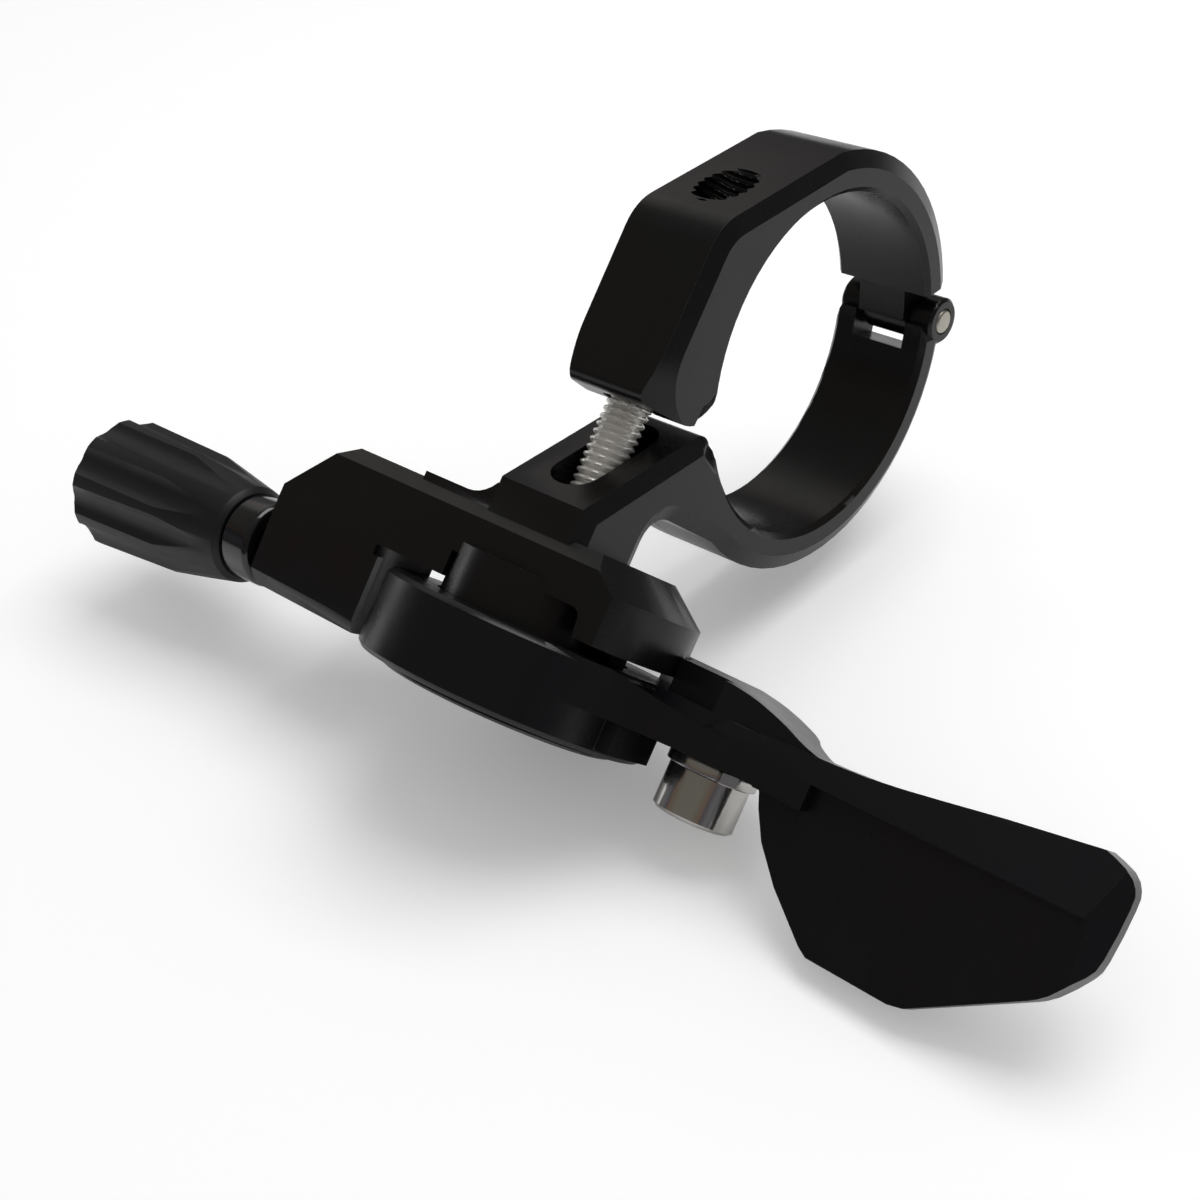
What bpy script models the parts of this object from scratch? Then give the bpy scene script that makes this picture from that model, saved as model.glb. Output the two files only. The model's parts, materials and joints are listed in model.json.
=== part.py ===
"""Dropper post remote lever for a bicycle handlebar.

A hinged clamp holds the body on a 31.8 mm bar. The thumb lever turns on a
large thin bearing under the body, on the axis of the clamp bolt.

Frame: origin at the middle of the clamp's bore, +X along the bar, +Y from
the clamp bolt to the hinge, +Z along the bolt and the lever's pivot.
"""
import math

import bmesh
import bpy
from mathutils import Matrix, Vector

MM = 0.001

# Fits
GAP = 0.3 * MM
SEAT = 0.1 * MM
PIN_FIT = 0.1 * MM
PAST = 1.0 * MM

# Clamp ring
BAR_R = 15.9 * MM
RING_WALL = 3.6 * MM
CLAMP_WIDTH = 10.7 * MM
CLAMP_CHAMFER = 1.1 * MM
BORE_CHAMFER = 0.5 * MM

# Clamp hinge
HINGE_OUT = 0.6 * MM
HINGE_ANGLE = 33.5
SHOULDER_ANGLE = 45.0
EAR_SLOT_ANGLE = 18.0
PIN_R = 1.2 * MM
PIN_PROUD = 0.15 * MM
KNUCKLE_R = 2.3 * MM
TONGUE_WIDTH = 5.2 * MM

# Upper clamp's bolt boss
BOSS_FRONT = 5.0 * MM
BOSS_FILLET = 7.0 * MM
BOSS_BOTTOM_Z = -11.2 * MM
BOSS_CORNER = 1.1 * MM
BOSS_ROUND = 3.0 * MM

# Clamp bolt and pivot axis
PIVOT_FROM_BORE = 18.1 * MM
BOLT_R = 2.0 * MM
BOLT_LENGTH = 30.0 * MM
BOLT_HEAD_R = 3.5 * MM
BOLT_HEAD_H = 4.0 * MM
BOLT_SOCKET = 3.0 * MM
BOLT_TIP = 0.4 * MM
CLAMP_OPENING = 3.0

# Lower jaw and post
JAW_TIP_Z = -11.0 * MM
JAW_TIP_R = 1.6 * MM
JAW_SLOPE = 42.7
POST_FRONT = 6.1 * MM
POST_BACK = 2.9 * MM
POST_FILLET = 2.5 * MM
POST_SIDE_FILLET = 3.5 * MM
SLOT_START = 2.0 * MM
SLOT_END = 13.5 * MM
SLOT_DEPTH = 4.5 * MM

# Body plate
PLATE_TOP_Z = -23.65 * MM
PLATE_T = 6.95 * MM
PLATE_FRONT = 6.9 * MM
PLATE_LEFT_X = -27.1 * MM
PLATE_END_R = 13.2 * MM
PLATE_CHAMFER = 1.3 * MM
END_CHAMFER_IN = 3.5 * MM
END_CHAMFER_DOWN = 2.75 * MM
CORNER_CUT_X = 5.9 * MM
CORNER_CUT_Z = 5.7 * MM
STEP_LEFT_X = -12.8 * MM
STEP_H = 0.25 * MM
SEAT_T = 2.35 * MM

# Notch and hook in the plate's front
NOTCH_LEFT_X = -5.7 * MM
HOOK_T = 2.0 * MM
NOTCH_H = 2.25 * MM
NOTCH_DEPTH = 4.5 * MM

# Cable boss
CABLE_BOSS_H = 8.1 * MM
CABLE_BOSS_DEPTH = 9.0 * MM
CABLE_BOSS_CHAMFER = 1.5 * MM
CABLE_BOSS_END_R = 14.8 * MM
CABLE_HOLE_R = 1.1 * MM

# Pivot
PIVOT_SHOULDER_R = 8.5 * MM
PIVOT_SHOULDER_H = 2.4 * MM
SPIGOT_WALL = 1.2 * MM
LEVER_UNDER_PLATE = 1.05 * MM
STOP_R = 7.0 * MM
STOP_START = -30.0
STOP_SWEEP = 62.0
LUG_SWEEP = 23.0
STOP_CLEARANCE = 2.0

# Pivot bearing
BEARING_BORE_R = 7.5 * MM
BEARING_R = 10.75 * MM
BEARING_H = 5.0 * MM
RACE_WALL = 1.1 * MM
BALL_R = 0.8 * MM
BALL_COUNT = 14
CAGE_H = 1.9 * MM
SEAL_H = 0.45 * MM

# Bearing retainer
RETAINER_R = 11.3 * MM
RETAINER_T = 0.55 * MM
RETAINER_STEP = 0.35 * MM
RETAINER_SLEEVE_L = 4.8 * MM
RETAINER_BORE_R = 3.9 * MM
RETAINER_HEX = 8.0 * MM
RETAINER_HEX_DEPTH = 2.5 * MM

# Lever hub and arm
HUB_R = 13.1 * MM
HUB_H = 7.0 * MM
HUB_EDGE = 0.4 * MM
ARM_T = 4.15 * MM
RIB_H = 2.85 * MM
RIB_INNER_GAP = 0.3 * MM
RIB_START = -32.0
RIB_END = 28.0
RIB_SETBACK = 1.3 * MM
ARM_BACK_Y = -7.4 * MM

# Paddle
PADDLE_FRONT_Y = -16.2 * MM
PADDLE_T = 3.2 * MM
PADDLE_END_X = 54.7 * MM
PADDLE_BOTTOM_Z = -45.5 * MM
CREASE_Z = -34.3 * MM
BAND_LEAN = 14.0
FACE_LEAN = 5.0
FACE_TURN = 1.5
PADDLE_END_FACET = 1.2 * MM

# Cable clamp on the arm
CABLE_BOLT_X = 18.1 * MM
CABLE_BOLT_Y = -12.4 * MM
CABLE_BOLT_LENGTH = 6.4 * MM
WASHER_R = 4.5 * MM
WASHER_T = 0.8 * MM
WASHER_TAB = 1.6 * MM

# Barrel adjuster
BARREL_Y = -20.5 * MM
BARREL_Z = -35.0 * MM
BARREL_DROP = 3.0
BARREL_THREAD_R = 2.5 * MM
BARREL_THREAD_L = 9.0 * MM
COLLAR_GAP = 1.9 * MM
COLLAR_L = 3.6 * MM
COLLAR_R = 4.1 * MM
KNOB_L = 22.5 * MM
KNOB_R = 6.6 * MM
KNOB_SHOULDER_R = 6.1 * MM
KNOB_NECK_R = 4.5 * MM
KNOB_CONE_L = 8.5 * MM
KNOB_RIBS = 16
KNOB_GROOVE_R = 0.9 * MM
KNOB_WALL = 1.5 * MM
HOUSING_R = 2.6 * MM
HOUSING_DEPTH = 9.0 * MM

# Derived places
RING_R = BAR_R + RING_WALL
HALF_W = CLAMP_WIDTH / 2
HINGE_R = RING_R - HINGE_OUT
HINGE_Y = HINGE_R * math.cos(math.radians(HINGE_ANGLE))
HINGE_Z = HINGE_R * math.sin(math.radians(HINGE_ANGLE))
PIVOT_Y = -PIVOT_FROM_BORE
CORE_R = BAR_R - 2 * MM
PLATE_BOTTOM_Z = PLATE_TOP_Z - PLATE_T
PLATE_FRONT_Y = PIVOT_Y - PLATE_FRONT
POST_FRONT_Y = PIVOT_Y - POST_FRONT
POST_BACK_Y = PIVOT_Y + POST_BACK
HEAD_SEAT_Z = PLATE_TOP_Z - SEAT_T
HEAD_TOP_Z = HEAD_SEAT_Z - GAP
HEAD_TRAVEL = (HINGE_Z - HEAD_TOP_Z + BOLT_HEAD_H / 2) * math.sin(math.radians(CLAMP_OPENING))
HOOK_CORNER_X = math.sqrt(PLATE_END_R ** 2 - PLATE_FRONT ** 2)
SHOULDER_Z = PLATE_BOTTOM_Z - PIVOT_SHOULDER_H
BEARING_TOP_Z = SHOULDER_Z - GAP
BEARING_BOTTOM_Z = BEARING_TOP_Z - BEARING_H
BALL_PITCH_R = (BEARING_BORE_R + BEARING_R) / 2
BALL_Z = (BEARING_TOP_Z + BEARING_BOTTOM_Z) / 2
INNER_RACE_R = BEARING_BORE_R + RACE_WALL
OUTER_RACE_R = BEARING_R - RACE_WALL
SPIGOT_R = BEARING_BORE_R - GAP
SPIGOT_BORE_R = SPIGOT_R - SPIGOT_WALL
HUB_TOP_Z = PLATE_BOTTOM_Z - LEVER_UNDER_PLATE
HUB_BOTTOM_Z = HUB_TOP_Z - HUB_H
RETAINER_TOP_Z = BEARING_BOTTOM_Z - GAP
FLANGE_TOP_Z = RETAINER_TOP_Z - RETAINER_STEP
FLANGE_BOTTOM_Z = FLANGE_TOP_Z - RETAINER_T
SPIGOT_END_Z = RETAINER_TOP_Z + GAP
SLEEVE_TOP_Z = RETAINER_TOP_Z + RETAINER_SLEEVE_L
ARM_BOTTOM_Z = HUB_TOP_Z - ARM_T
RIB_TOP_Z = HUB_TOP_Z + RIB_H

parts = bpy.data.collections.new("dropper_remote")
tools = bpy.data.collections.new("cutters")


def clear_scene():
    for thing in list(bpy.data.objects):
        bpy.data.objects.remove(thing, do_unlink=True)
    for home in (parts, tools):
        bpy.context.scene.collection.children.link(home)


# Materials

def material(name, colour, roughness, metallic):
    made = bpy.data.materials.new(name)
    made.use_nodes = True
    shader = made.node_tree.nodes["Principled BSDF"]
    shader.inputs["Base Color"].default_value = (*colour, 1)
    shader.inputs["Roughness"].default_value = roughness
    shader.inputs["Metallic"].default_value = metallic
    made.diffuse_color = (*colour, 1)
    return made


ANODISED = material("black_anodised", (0.02, 0.02, 0.022), 0.35, 0.9)
STAINLESS = material("stainless", (0.62, 0.6, 0.57), 0.2, 1.0)
PIN_STEEL = material("pin_steel", (0.45, 0.42, 0.38), 0.4, 1.0)
BEARING_STEEL = material("bearing_steel", (0.55, 0.55, 0.56), 0.15, 1.0)
BLACK_PLASTIC = material("knob_plastic", (0.03, 0.03, 0.035), 0.6, 0.0)
GLOSS_PLASTIC = material("collar_plastic", (0.012, 0.012, 0.014), 0.15, 0.0)
SEAL_RUBBER = material("seal_rubber", (0.02, 0.02, 0.02), 0.7, 0.0)


# Modelling helpers

PLANES = {
    "XY": (Matrix(((1, 0, 0), (0, 1, 0), (0, 0, 1))), Vector((0, 0, 1))),
    "YZ": (Matrix(((0, 0, 1), (1, 0, 0), (0, 1, 0))), Vector((1, 0, 0))),
    "XZ": (Matrix(((1, 0, 0), (0, 0, -1), (0, 1, 0))), Vector((0, 1, 0))),
}


def arc(centre, radius, start, end, steps):
    """Points on an arc, with its angles in degrees."""
    points = []
    for i in range(steps + 1):
        angle = math.radians(start + (end - start) * i / steps)
        points.append((centre[0] + radius * math.cos(angle), centre[1] + radius * math.sin(angle)))
    return points


def polar(radius, angle, centre=(0.0, 0.0)):
    return arc(centre, radius, angle, angle, 1)[0]


def smooth(points, steps):
    """Points on a Catmull-Rom curve through the given ones."""
    ends = [points[0]] + points + [points[-1]]
    curve = []
    for a, b, c, d in zip(ends, ends[1:], ends[2:], ends[3:]):
        for i in range(steps):
            t = i / steps
            curve.append(tuple(
                0.5 * (2 * q + (r - p) * t + (2 * p - 5 * q + 4 * r - s) * t * t
                       + (3 * q - p - 3 * r + s) * t ** 3)
                for p, q, r, s in zip(a, b, c, d)))
    return curve + [points[-1]]


def place_object(name, mesh, home):
    made = bpy.data.objects.new(name, mesh)
    home.objects.link(made)
    if home is tools:
        made.hide_render = True
        made.display_type = "WIRE"
    return made


def baked(thing):
    """The evaluated mesh of an object, welded and facing out. The object is removed."""
    bpy.context.view_layer.update()
    depsgraph = bpy.context.evaluated_depsgraph_get()
    mesh = bpy.data.meshes.new_from_object(thing.evaluated_get(depsgraph))
    bm = bmesh.new()
    bm.from_mesh(mesh)
    bmesh.ops.remove_doubles(bm, verts=bm.verts, dist=0.001 * MM)
    bmesh.ops.recalc_face_normals(bm, faces=bm.faces)
    bm.to_mesh(mesh)
    bm.free()
    bpy.data.objects.remove(thing)
    return mesh


def flat_solid(name, outline, plane, low, high, home):
    """An outline, given on one plane, made a solid from low to high across it."""
    curve = bpy.data.curves.new(name, "CURVE")
    curve.dimensions = "2D"
    curve.fill_mode = "BOTH"
    curve.extrude = (high - low) / 2
    spline = curve.splines.new("POLY")
    spline.points.add(len(outline) - 1)
    spline.use_cyclic_u = True
    for point, (a, b) in zip(spline.points, outline):
        point.co = (a, b, 0, 1)
    flat = place_object(name + "_outline", curve, tools)
    mesh = baked(flat)
    turn, across = PLANES[plane]
    mesh.transform(Matrix.Translation(across * (low + high) / 2) @ turn.to_4x4())
    mesh.name = name
    return place_object(name, mesh, home)


def turned(name, profile, home, steps=48, place=None):
    """A profile of (radius, height) points turned about Z, then placed."""
    on_axis = profile[0][0] == 0
    mesh = bpy.data.meshes.new(name)
    edges = [(i, i + 1) for i in range(len(profile) - 1)]
    if not on_axis:
        edges.append((len(profile) - 1, 0))
    mesh.from_pydata([(r, 0, z) for r, z in profile], edges, [])
    spun = place_object(name + "_profile", mesh, tools)
    screw = spun.modifiers.new("turn", "SCREW")
    screw.axis = "Z"
    screw.steps = steps
    screw.render_steps = steps
    screw.use_merge_vertices = True
    screw.merge_threshold = 0.001 * MM
    solid = baked(spun)
    solid.name = name
    if place:
        solid.transform(place)
    return place_object(name, solid, home)


def cylinder(name, radius, low, high, home, steps=32, place=None):
    """A plain cylinder about Z from low to high, then placed."""
    bm = bmesh.new()
    bmesh.ops.create_cone(bm, cap_ends=True, segments=steps, radius1=radius, radius2=radius,
                          depth=high - low)
    bmesh.ops.translate(bm, verts=bm.verts, vec=(0, 0, (low + high) / 2))
    if place:
        bm.transform(place)
    mesh = bpy.data.meshes.new(name)
    bm.to_mesh(mesh)
    bm.free()
    return place_object(name, mesh, home)


def block(name, low, high, home, place=None):
    """A box between two corners, then placed."""
    low = Vector(low)
    high = Vector(high)
    bm = bmesh.new()
    bmesh.ops.create_cube(bm, size=1)
    size = high - low
    bmesh.ops.scale(bm, verts=bm.verts, vec=size)
    bmesh.ops.translate(bm, verts=bm.verts, vec=(low + high) / 2)
    if place:
        bm.transform(place)
    mesh = bpy.data.meshes.new(name)
    bm.to_mesh(mesh)
    bm.free()
    return place_object(name, mesh, home)


def chamfer_rim(piece, axis, levels, width, keep=None):
    """Chamfers the outline's edges on the flat ends of a solid."""
    bm = bmesh.new()
    bm.from_mesh(piece.data)
    bmesh.ops.dissolve_limit(bm, angle_limit=0.001, verts=bm.verts, edges=bm.edges)
    rim = []
    for edge in bm.edges:
        at_level = any(all(abs(v.co[axis] - level) < 0.001 * MM for v in edge.verts) for level in levels)
        if at_level and (keep is None or all(keep(v.co) for v in edge.verts)):
            rim.append(edge)
    bmesh.ops.bevel(bm, geom=rim, offset=width, offset_type="OFFSET", segments=1, profile=0.5,
                    affect="EDGES", clamp_overlap=False)
    bm.to_mesh(piece.data)
    bm.free()


def boolean(piece, other, operation):
    step = piece.modifiers.new(operation.lower() + "_" + other.name, "BOOLEAN")
    step.operation = operation
    step.solver = "EXACT"
    step.object = other


def cut(piece, *others):
    for other in others:
        boolean(piece, other, "DIFFERENCE")


def join(piece, *others):
    for other in others:
        boolean(piece, other, "UNION")


def about(x, y, z=0.0):
    return Matrix.Translation((x, y, z))


def weld(piece):
    """Joins the doubled points that a cut can leave where two round pieces cross."""
    step = piece.modifiers.new("weld", "WELD")
    step.merge_threshold = 0.002 * MM


def finish_piece(piece, look):
    piece.data.materials.clear()
    piece.data.materials.append(look)
    piece.data.shade_smooth()
    piece.data.set_sharp_from_angle(angle=math.radians(30))


# Clamp

ALONG_X = Matrix.Rotation(math.radians(90), 4, "Y")
HINGE_PLACE = about(0, HINGE_Y, HINGE_Z) @ ALONG_X


def bore_cutter(name):
    """The bar's space, flared at both ends for the bore's chamfers."""
    flare = BORE_CHAMFER + PAST
    profile = [(0, HALF_W + PAST), (BAR_R + flare, HALF_W + PAST), (BAR_R, HALF_W - BORE_CHAMFER),
               (BAR_R, -HALF_W + BORE_CHAMFER), (BAR_R + flare, -HALF_W - PAST), (0, -HALF_W - PAST)]
    return turned(name, profile, tools, 72, ALONG_X)


def knuckle(name, half_width, edge):
    profile = [(0, half_width), (KNUCKLE_R - edge, half_width), (KNUCKLE_R, half_width - edge),
               (KNUCKLE_R, edge - half_width), (KNUCKLE_R - edge, -half_width), (0, -half_width)]
    return turned(name, profile, tools, 40, HINGE_PLACE)


def pin_hole(name):
    return cylinder(name, PIN_R + PIN_FIT, -HALF_W - PAST, HALF_W + PAST, tools, 32, HINGE_PLACE)


def slope_point(along, inward=0.0):
    """A point on the lower jaw's sloped face, measured up from its lower end."""
    slope = math.radians(JAW_SLOPE)
    y = POST_FRONT_Y + along * math.cos(slope) + inward * math.sin(slope)
    z = slope_base_z() + along * math.sin(slope) - inward * math.cos(slope)
    return y, z


def jaw_tip_centre():
    """The tip's round lies against the bore's wall and reaches the tip's height."""
    z = JAW_TIP_Z - JAW_TIP_R
    y = -math.sqrt((BAR_R + JAW_TIP_R + 0.4 * MM) ** 2 - z * z)
    return y, z


def slope_base_z():
    """The height at which the sloped face meets the post's front."""
    slope = math.radians(JAW_SLOPE)
    y, z = jaw_tip_centre()
    top_y = y - JAW_TIP_R * math.sin(slope)
    top_z = z + JAW_TIP_R * math.cos(slope)
    return top_z - (top_y - POST_FRONT_Y) * math.tan(slope)


def lower_clamp_outline():
    tip = jaw_tip_centre()
    fillet = (POST_BACK_Y + POST_FILLET, -RING_R - POST_FILLET)
    tip_inner = math.degrees(math.atan2(tip[1], tip[0]))
    outline = arc((0, 0), RING_R, HINGE_ANGLE, -90, 22)
    outline += arc(fillet, POST_FILLET, 90, 180, 6)
    outline += [(POST_BACK_Y, PLATE_TOP_Z - CLAMP_CHAMFER - PAST), (POST_FRONT_Y, PLATE_TOP_Z - CLAMP_CHAMFER - PAST)]
    outline += [(POST_FRONT_Y, slope_base_z())]
    outline += arc(tip, JAW_TIP_R, 90 + JAW_SLOPE, 45, 6)
    outline += [polar(BAR_R - 0.2 * MM, tip_inner + 4)]
    outline += arc((0, 0), CORE_R, tip_inner + 5, HINGE_ANGLE, 12)
    return outline


def upper_clamp_outline():
    flat_tangent = polar(RING_R, 135)
    front_y = PIVOT_Y - BOSS_FRONT
    corner_z = front_y - (flat_tangent[0] - flat_tangent[1])
    reach = BOSS_FILLET * math.tan(math.radians(22.5))
    fillet = (front_y + BOSS_FILLET, corner_z - reach)
    bottom_round = (-BAR_R - BOSS_ROUND + 1.3 * MM, BOSS_BOTTOM_Z + BOSS_ROUND)
    inner_y = bottom_round[0] + BOSS_ROUND
    bore_end = 180 + math.degrees(math.acos(-inner_y / BAR_R))
    outline = arc((0, 0), RING_R, HINGE_ANGLE, 135, 18)
    outline += arc(fillet, BOSS_FILLET, 135, 180, 6)
    outline += [(front_y, BOSS_BOTTOM_Z + BOSS_CORNER), (front_y + BOSS_CORNER, BOSS_BOTTOM_Z)]
    outline += arc(bottom_round, BOSS_ROUND, 270, 360, 8)
    outline += [polar(BAR_R, bore_end)]
    outline += arc((0, 0), CORE_R, bore_end, HINGE_ANGLE, 14)
    return outline


def build_upper_clamp():
    clamp = flat_solid("upper_clamp", upper_clamp_outline(), "YZ", -HALF_W, HALF_W, parts)
    chamfer_rim(clamp, 0, (-HALF_W, HALF_W), CLAMP_CHAMFER)
    join(clamp, knuckle("tongue_knuckle", TONGUE_WIDTH / 2, 0.2 * MM))
    for side in (-1, 1):
        near = min(side * TONGUE_WIDTH / 2, side * (HALF_W + PAST))
        far = max(side * TONGUE_WIDTH / 2, side * (HALF_W + PAST))
        reach = RING_R + 4 * PAST
        below = [polar(CORE_R - PAST, SHOULDER_ANGLE), polar(reach, SHOULDER_ANGLE),
                 polar(reach, HINGE_ANGLE - 15), polar(CORE_R - PAST, HINGE_ANGLE - 15)]
        cut(clamp, flat_solid(f"tongue_side_{side}", below, "YZ", near, far, tools))
    cut(clamp, bore_cutter("upper_bore"), pin_hole("tongue_hole"))
    cut(clamp, cylinder("upper_bolt_hole", BOLT_R + GAP, BOSS_BOTTOM_Z - PAST, RING_R, tools, 32,
                        about(0, PIVOT_Y)))
    finish_piece(clamp, ANODISED)
    clamp_pin = turned("hinge_pin", [
        (0, HALF_W + PIN_PROUD), (PIN_R - 0.2 * MM, HALF_W + PIN_PROUD), (PIN_R, HALF_W + PIN_PROUD - 0.2 * MM),
        (PIN_R, 0.2 * MM - HALF_W - PIN_PROUD), (PIN_R - 0.2 * MM, -HALF_W - PIN_PROUD),
        (0, -HALF_W - PIN_PROUD)], parts, 32, HINGE_PLACE)
    finish_piece(clamp_pin, PIN_STEEL)


def socket_bolt(name, head_r, head_h, shank_r, length, socket, place, look):
    """A socket head cap screw: head below, shank up from height 0."""
    edge = 0.35 * MM
    profile = [(0, length), (shank_r - BOLT_TIP, length), (shank_r, length - BOLT_TIP), (shank_r, 0),
               (head_r, 0), (head_r, edge - head_h), (head_r - edge, -head_h), (0, -head_h)]
    bolt = turned(name, profile, parts, 36, place)
    hexagon = cylinder(name + "_socket", socket / math.sqrt(3), -head_h - PAST, -head_h / 2, tools, 6, place)
    cut(bolt, hexagon)
    finish_piece(bolt, look)


# Body

def stadium(radius, front_y, back_y, steps=10):
    """A slot's outline in plan between two Y limits, round at both ends."""
    front = (0, front_y + radius)
    back = (0, back_y - radius)
    return arc(front, radius, 180, 360, steps) + arc(back, radius, 0, 180, steps)


def rear_tangent():
    """Where the plate's rear edge leaves its round end, as an angle about the pivot."""
    corner = Vector((PLATE_LEFT_X, PLATE_FRONT_Y + CABLE_BOSS_DEPTH - PIVOT_Y))
    return math.degrees(math.atan2(corner.y, corner.x) - math.acos(PLATE_END_R / corner.length))


def plate_outline():
    pivot = (0, PIVOT_Y)
    front = math.degrees(math.asin(-PLATE_FRONT / PLATE_END_R))
    outline = [(PLATE_LEFT_X, PLATE_FRONT_Y + CABLE_BOSS_DEPTH), (PLATE_LEFT_X, PLATE_FRONT_Y)]
    outline += arc(pivot, PLATE_END_R, front, rear_tangent(), 26)
    return outline


def end_chamfer_section():
    """The section cut from the plate's round end and rear edge, as (inward, height)."""
    slope = END_CHAMFER_DOWN / END_CHAMFER_IN
    over = 2 * PAST
    return [(-over, PLATE_TOP_Z - END_CHAMFER_DOWN - over * slope),
            (END_CHAMFER_IN + over, PLATE_TOP_Z + over * slope), (-over, PLATE_TOP_Z + over * slope)]


def cut_plate_edges(body):
    section = end_chamfer_section()
    pivot = about(0, PIVOT_Y)
    tangent = rear_tangent()
    cone = turned("end_chamfer", [(PLATE_END_R - inward, z) for inward, z in section], tools, 80, pivot)
    left = pivot @ Matrix.Rotation(math.radians(tangent), 4, "Z")
    reach = 3 * PLATE_END_R
    cut(cone, block("end_chamfer_left", (-reach, 0, -reach), (reach, reach, reach), tools, left))
    cut(cone, block("end_chamfer_front", (-reach, -reach, -reach), (PAST, -PLATE_END_R / 2, reach), tools, pivot))
    rear = flat_solid("rear_chamfer", [(PLATE_END_R - inward, z) for inward, z in section], "XZ",
                      -0.01 * MM, reach, tools)
    rear.data.transform(left)
    cut(body, cone, rear)
    chamfer = PLATE_CHAMFER + PAST
    wedge = [(PLATE_FRONT_Y - PAST, PLATE_TOP_Z - chamfer), (PLATE_FRONT_Y + 2 * PLATE_CHAMFER, PLATE_TOP_Z + PLATE_CHAMFER),
             (PLATE_FRONT_Y - PAST, PLATE_TOP_Z + PLATE_CHAMFER)]
    cut(body, flat_solid("front_chamfer", wedge, "YZ", PLATE_LEFT_X - PAST, PLATE_END_R + PAST, tools))
    corner = [(PLATE_LEFT_X - PAST, PLATE_TOP_Z - CORNER_CUT_Z * (1 + PAST / CORNER_CUT_X)),
              (PLATE_LEFT_X + CORNER_CUT_X * (1 + PAST / CORNER_CUT_Z), PLATE_TOP_Z + PAST),
              (PLATE_LEFT_X - PAST, PLATE_TOP_Z + PAST)]
    cut(body, flat_solid("corner_cut", corner, "XZ", PLATE_FRONT_Y - PAST, 0, tools))


def add_plate():
    plate = flat_solid("plate", plate_outline(), "XY", PLATE_BOTTOM_Z, PLATE_TOP_Z, tools)
    cut_plate_edges(plate)
    step = [(STEP_LEFT_X, POST_FRONT_Y + 0.2 * MM), (0, POST_FRONT_Y + 0.2 * MM),
            (0, POST_BACK_Y), (STEP_LEFT_X, POST_BACK_Y)]
    raised = flat_solid("raised_step", step, "XY", PLATE_TOP_Z - PAST, PLATE_TOP_Z + STEP_H, tools)
    side = POST_SIDE_FILLET
    fillet = [(-HALF_W + PAST, PLATE_TOP_Z - PAST), (-HALF_W + PAST, PLATE_TOP_Z + side)]
    fillet += arc((-HALF_W - side, PLATE_TOP_Z + side + STEP_H), side, 0, -90, 8)
    fillet += [(-HALF_W - side, PLATE_TOP_Z - PAST)]
    return plate, [raised, flat_solid("side_fillet", fillet, "XZ", POST_FRONT_Y + CLAMP_CHAMFER,
                                      POST_BACK_Y - 0.1 * MM, tools)]


def add_cable_boss():
    """The boss for the barrel adjuster, under the plate's left end."""
    bottom = PLATE_BOTTOM_Z - CABLE_BOSS_H
    back = PLATE_FRONT_Y + CABLE_BOSS_DEPTH
    edge = CABLE_BOSS_CHAMFER
    section = [(PLATE_FRONT_Y, PLATE_BOTTOM_Z + PAST), (PLATE_FRONT_Y, bottom + edge), (PLATE_FRONT_Y + edge, bottom),
               (back - edge, bottom), (back, bottom + edge), (back, PLATE_BOTTOM_Z + PAST)]
    boss = flat_solid("cable_boss", section, "YZ", PLATE_LEFT_X, 0, tools)
    cut(boss, cylinder("hub_space", CABLE_BOSS_END_R, bottom - PAST, PLATE_BOTTOM_Z, tools, 80, about(0, PIVOT_Y)))
    cut(boss, block("boss_above_hub", (-CABLE_BOSS_END_R + PAST, PLATE_FRONT_Y - PAST, PLATE_BOTTOM_Z - PAST),
                    (PAST, back + PAST, PLATE_BOTTOM_Z + 2 * PAST), tools))
    return boss


BARREL_ALONG = Matrix.Rotation(math.radians(-90 - BARREL_DROP), 4, "Y")
BARREL_PLACE = about(PLATE_LEFT_X, BARREL_Y, BARREL_Z) @ BARREL_ALONG


def cut_cable_bore(body):
    cut(body, cylinder("barrel_thread_hole", BARREL_THREAD_R + GAP, -BARREL_THREAD_L - COLLAR_GAP, 3 * PAST, tools,
                       32, BARREL_PLACE))
    cut(body, cylinder("cable_hole", CABLE_HOLE_R, -20 * MM, 0, tools, 24, BARREL_PLACE))


def cut_bolt_way(body):
    """The slot in the jaw's face, the bolt's passage, its head's pocket and the way to it."""
    slot_r = BOLT_R + GAP
    slope = Matrix.Translation((0, *slope_point(0))) @ Matrix.Rotation(math.radians(JAW_SLOPE), 4, "X")
    slot = flat_solid("jaw_slot", stadium(slot_r, SLOT_START, SLOT_END), "XY", -SLOT_DEPTH, 3 * PAST, tools)
    slot.data.transform(slope)
    travel = HEAD_TRAVEL + GAP
    shank = stadium(slot_r, PIVOT_Y - BOLT_R - travel, PIVOT_Y + BOLT_R + 0.2 * MM)
    passage = flat_solid("bolt_passage", shank, "XY", HEAD_SEAT_Z - PAST, slope_point(SLOT_END)[1], tools)
    head = stadium(BOLT_HEAD_R + GAP, PIVOT_Y - BOLT_HEAD_R - travel, PIVOT_Y + BOLT_HEAD_R + GAP, 14)
    pocket = flat_solid("head_pocket", head, "XY", PLATE_BOTTOM_Z - PAST, HEAD_SEAT_Z, tools)
    cut(body, slot, passage, pocket)
    pivot = about(0, PIVOT_Y)
    cut(body, cylinder("key_way", BOLT_HEAD_R + 2 * GAP, SPIGOT_END_Z - PAST, PLATE_BOTTOM_Z, tools, 40, pivot))
    cut(body, cylinder("sleeve_bore", SPIGOT_BORE_R, SPIGOT_END_Z - PAST, SLEEVE_TOP_Z + GAP, tools, 48, pivot))


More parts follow.
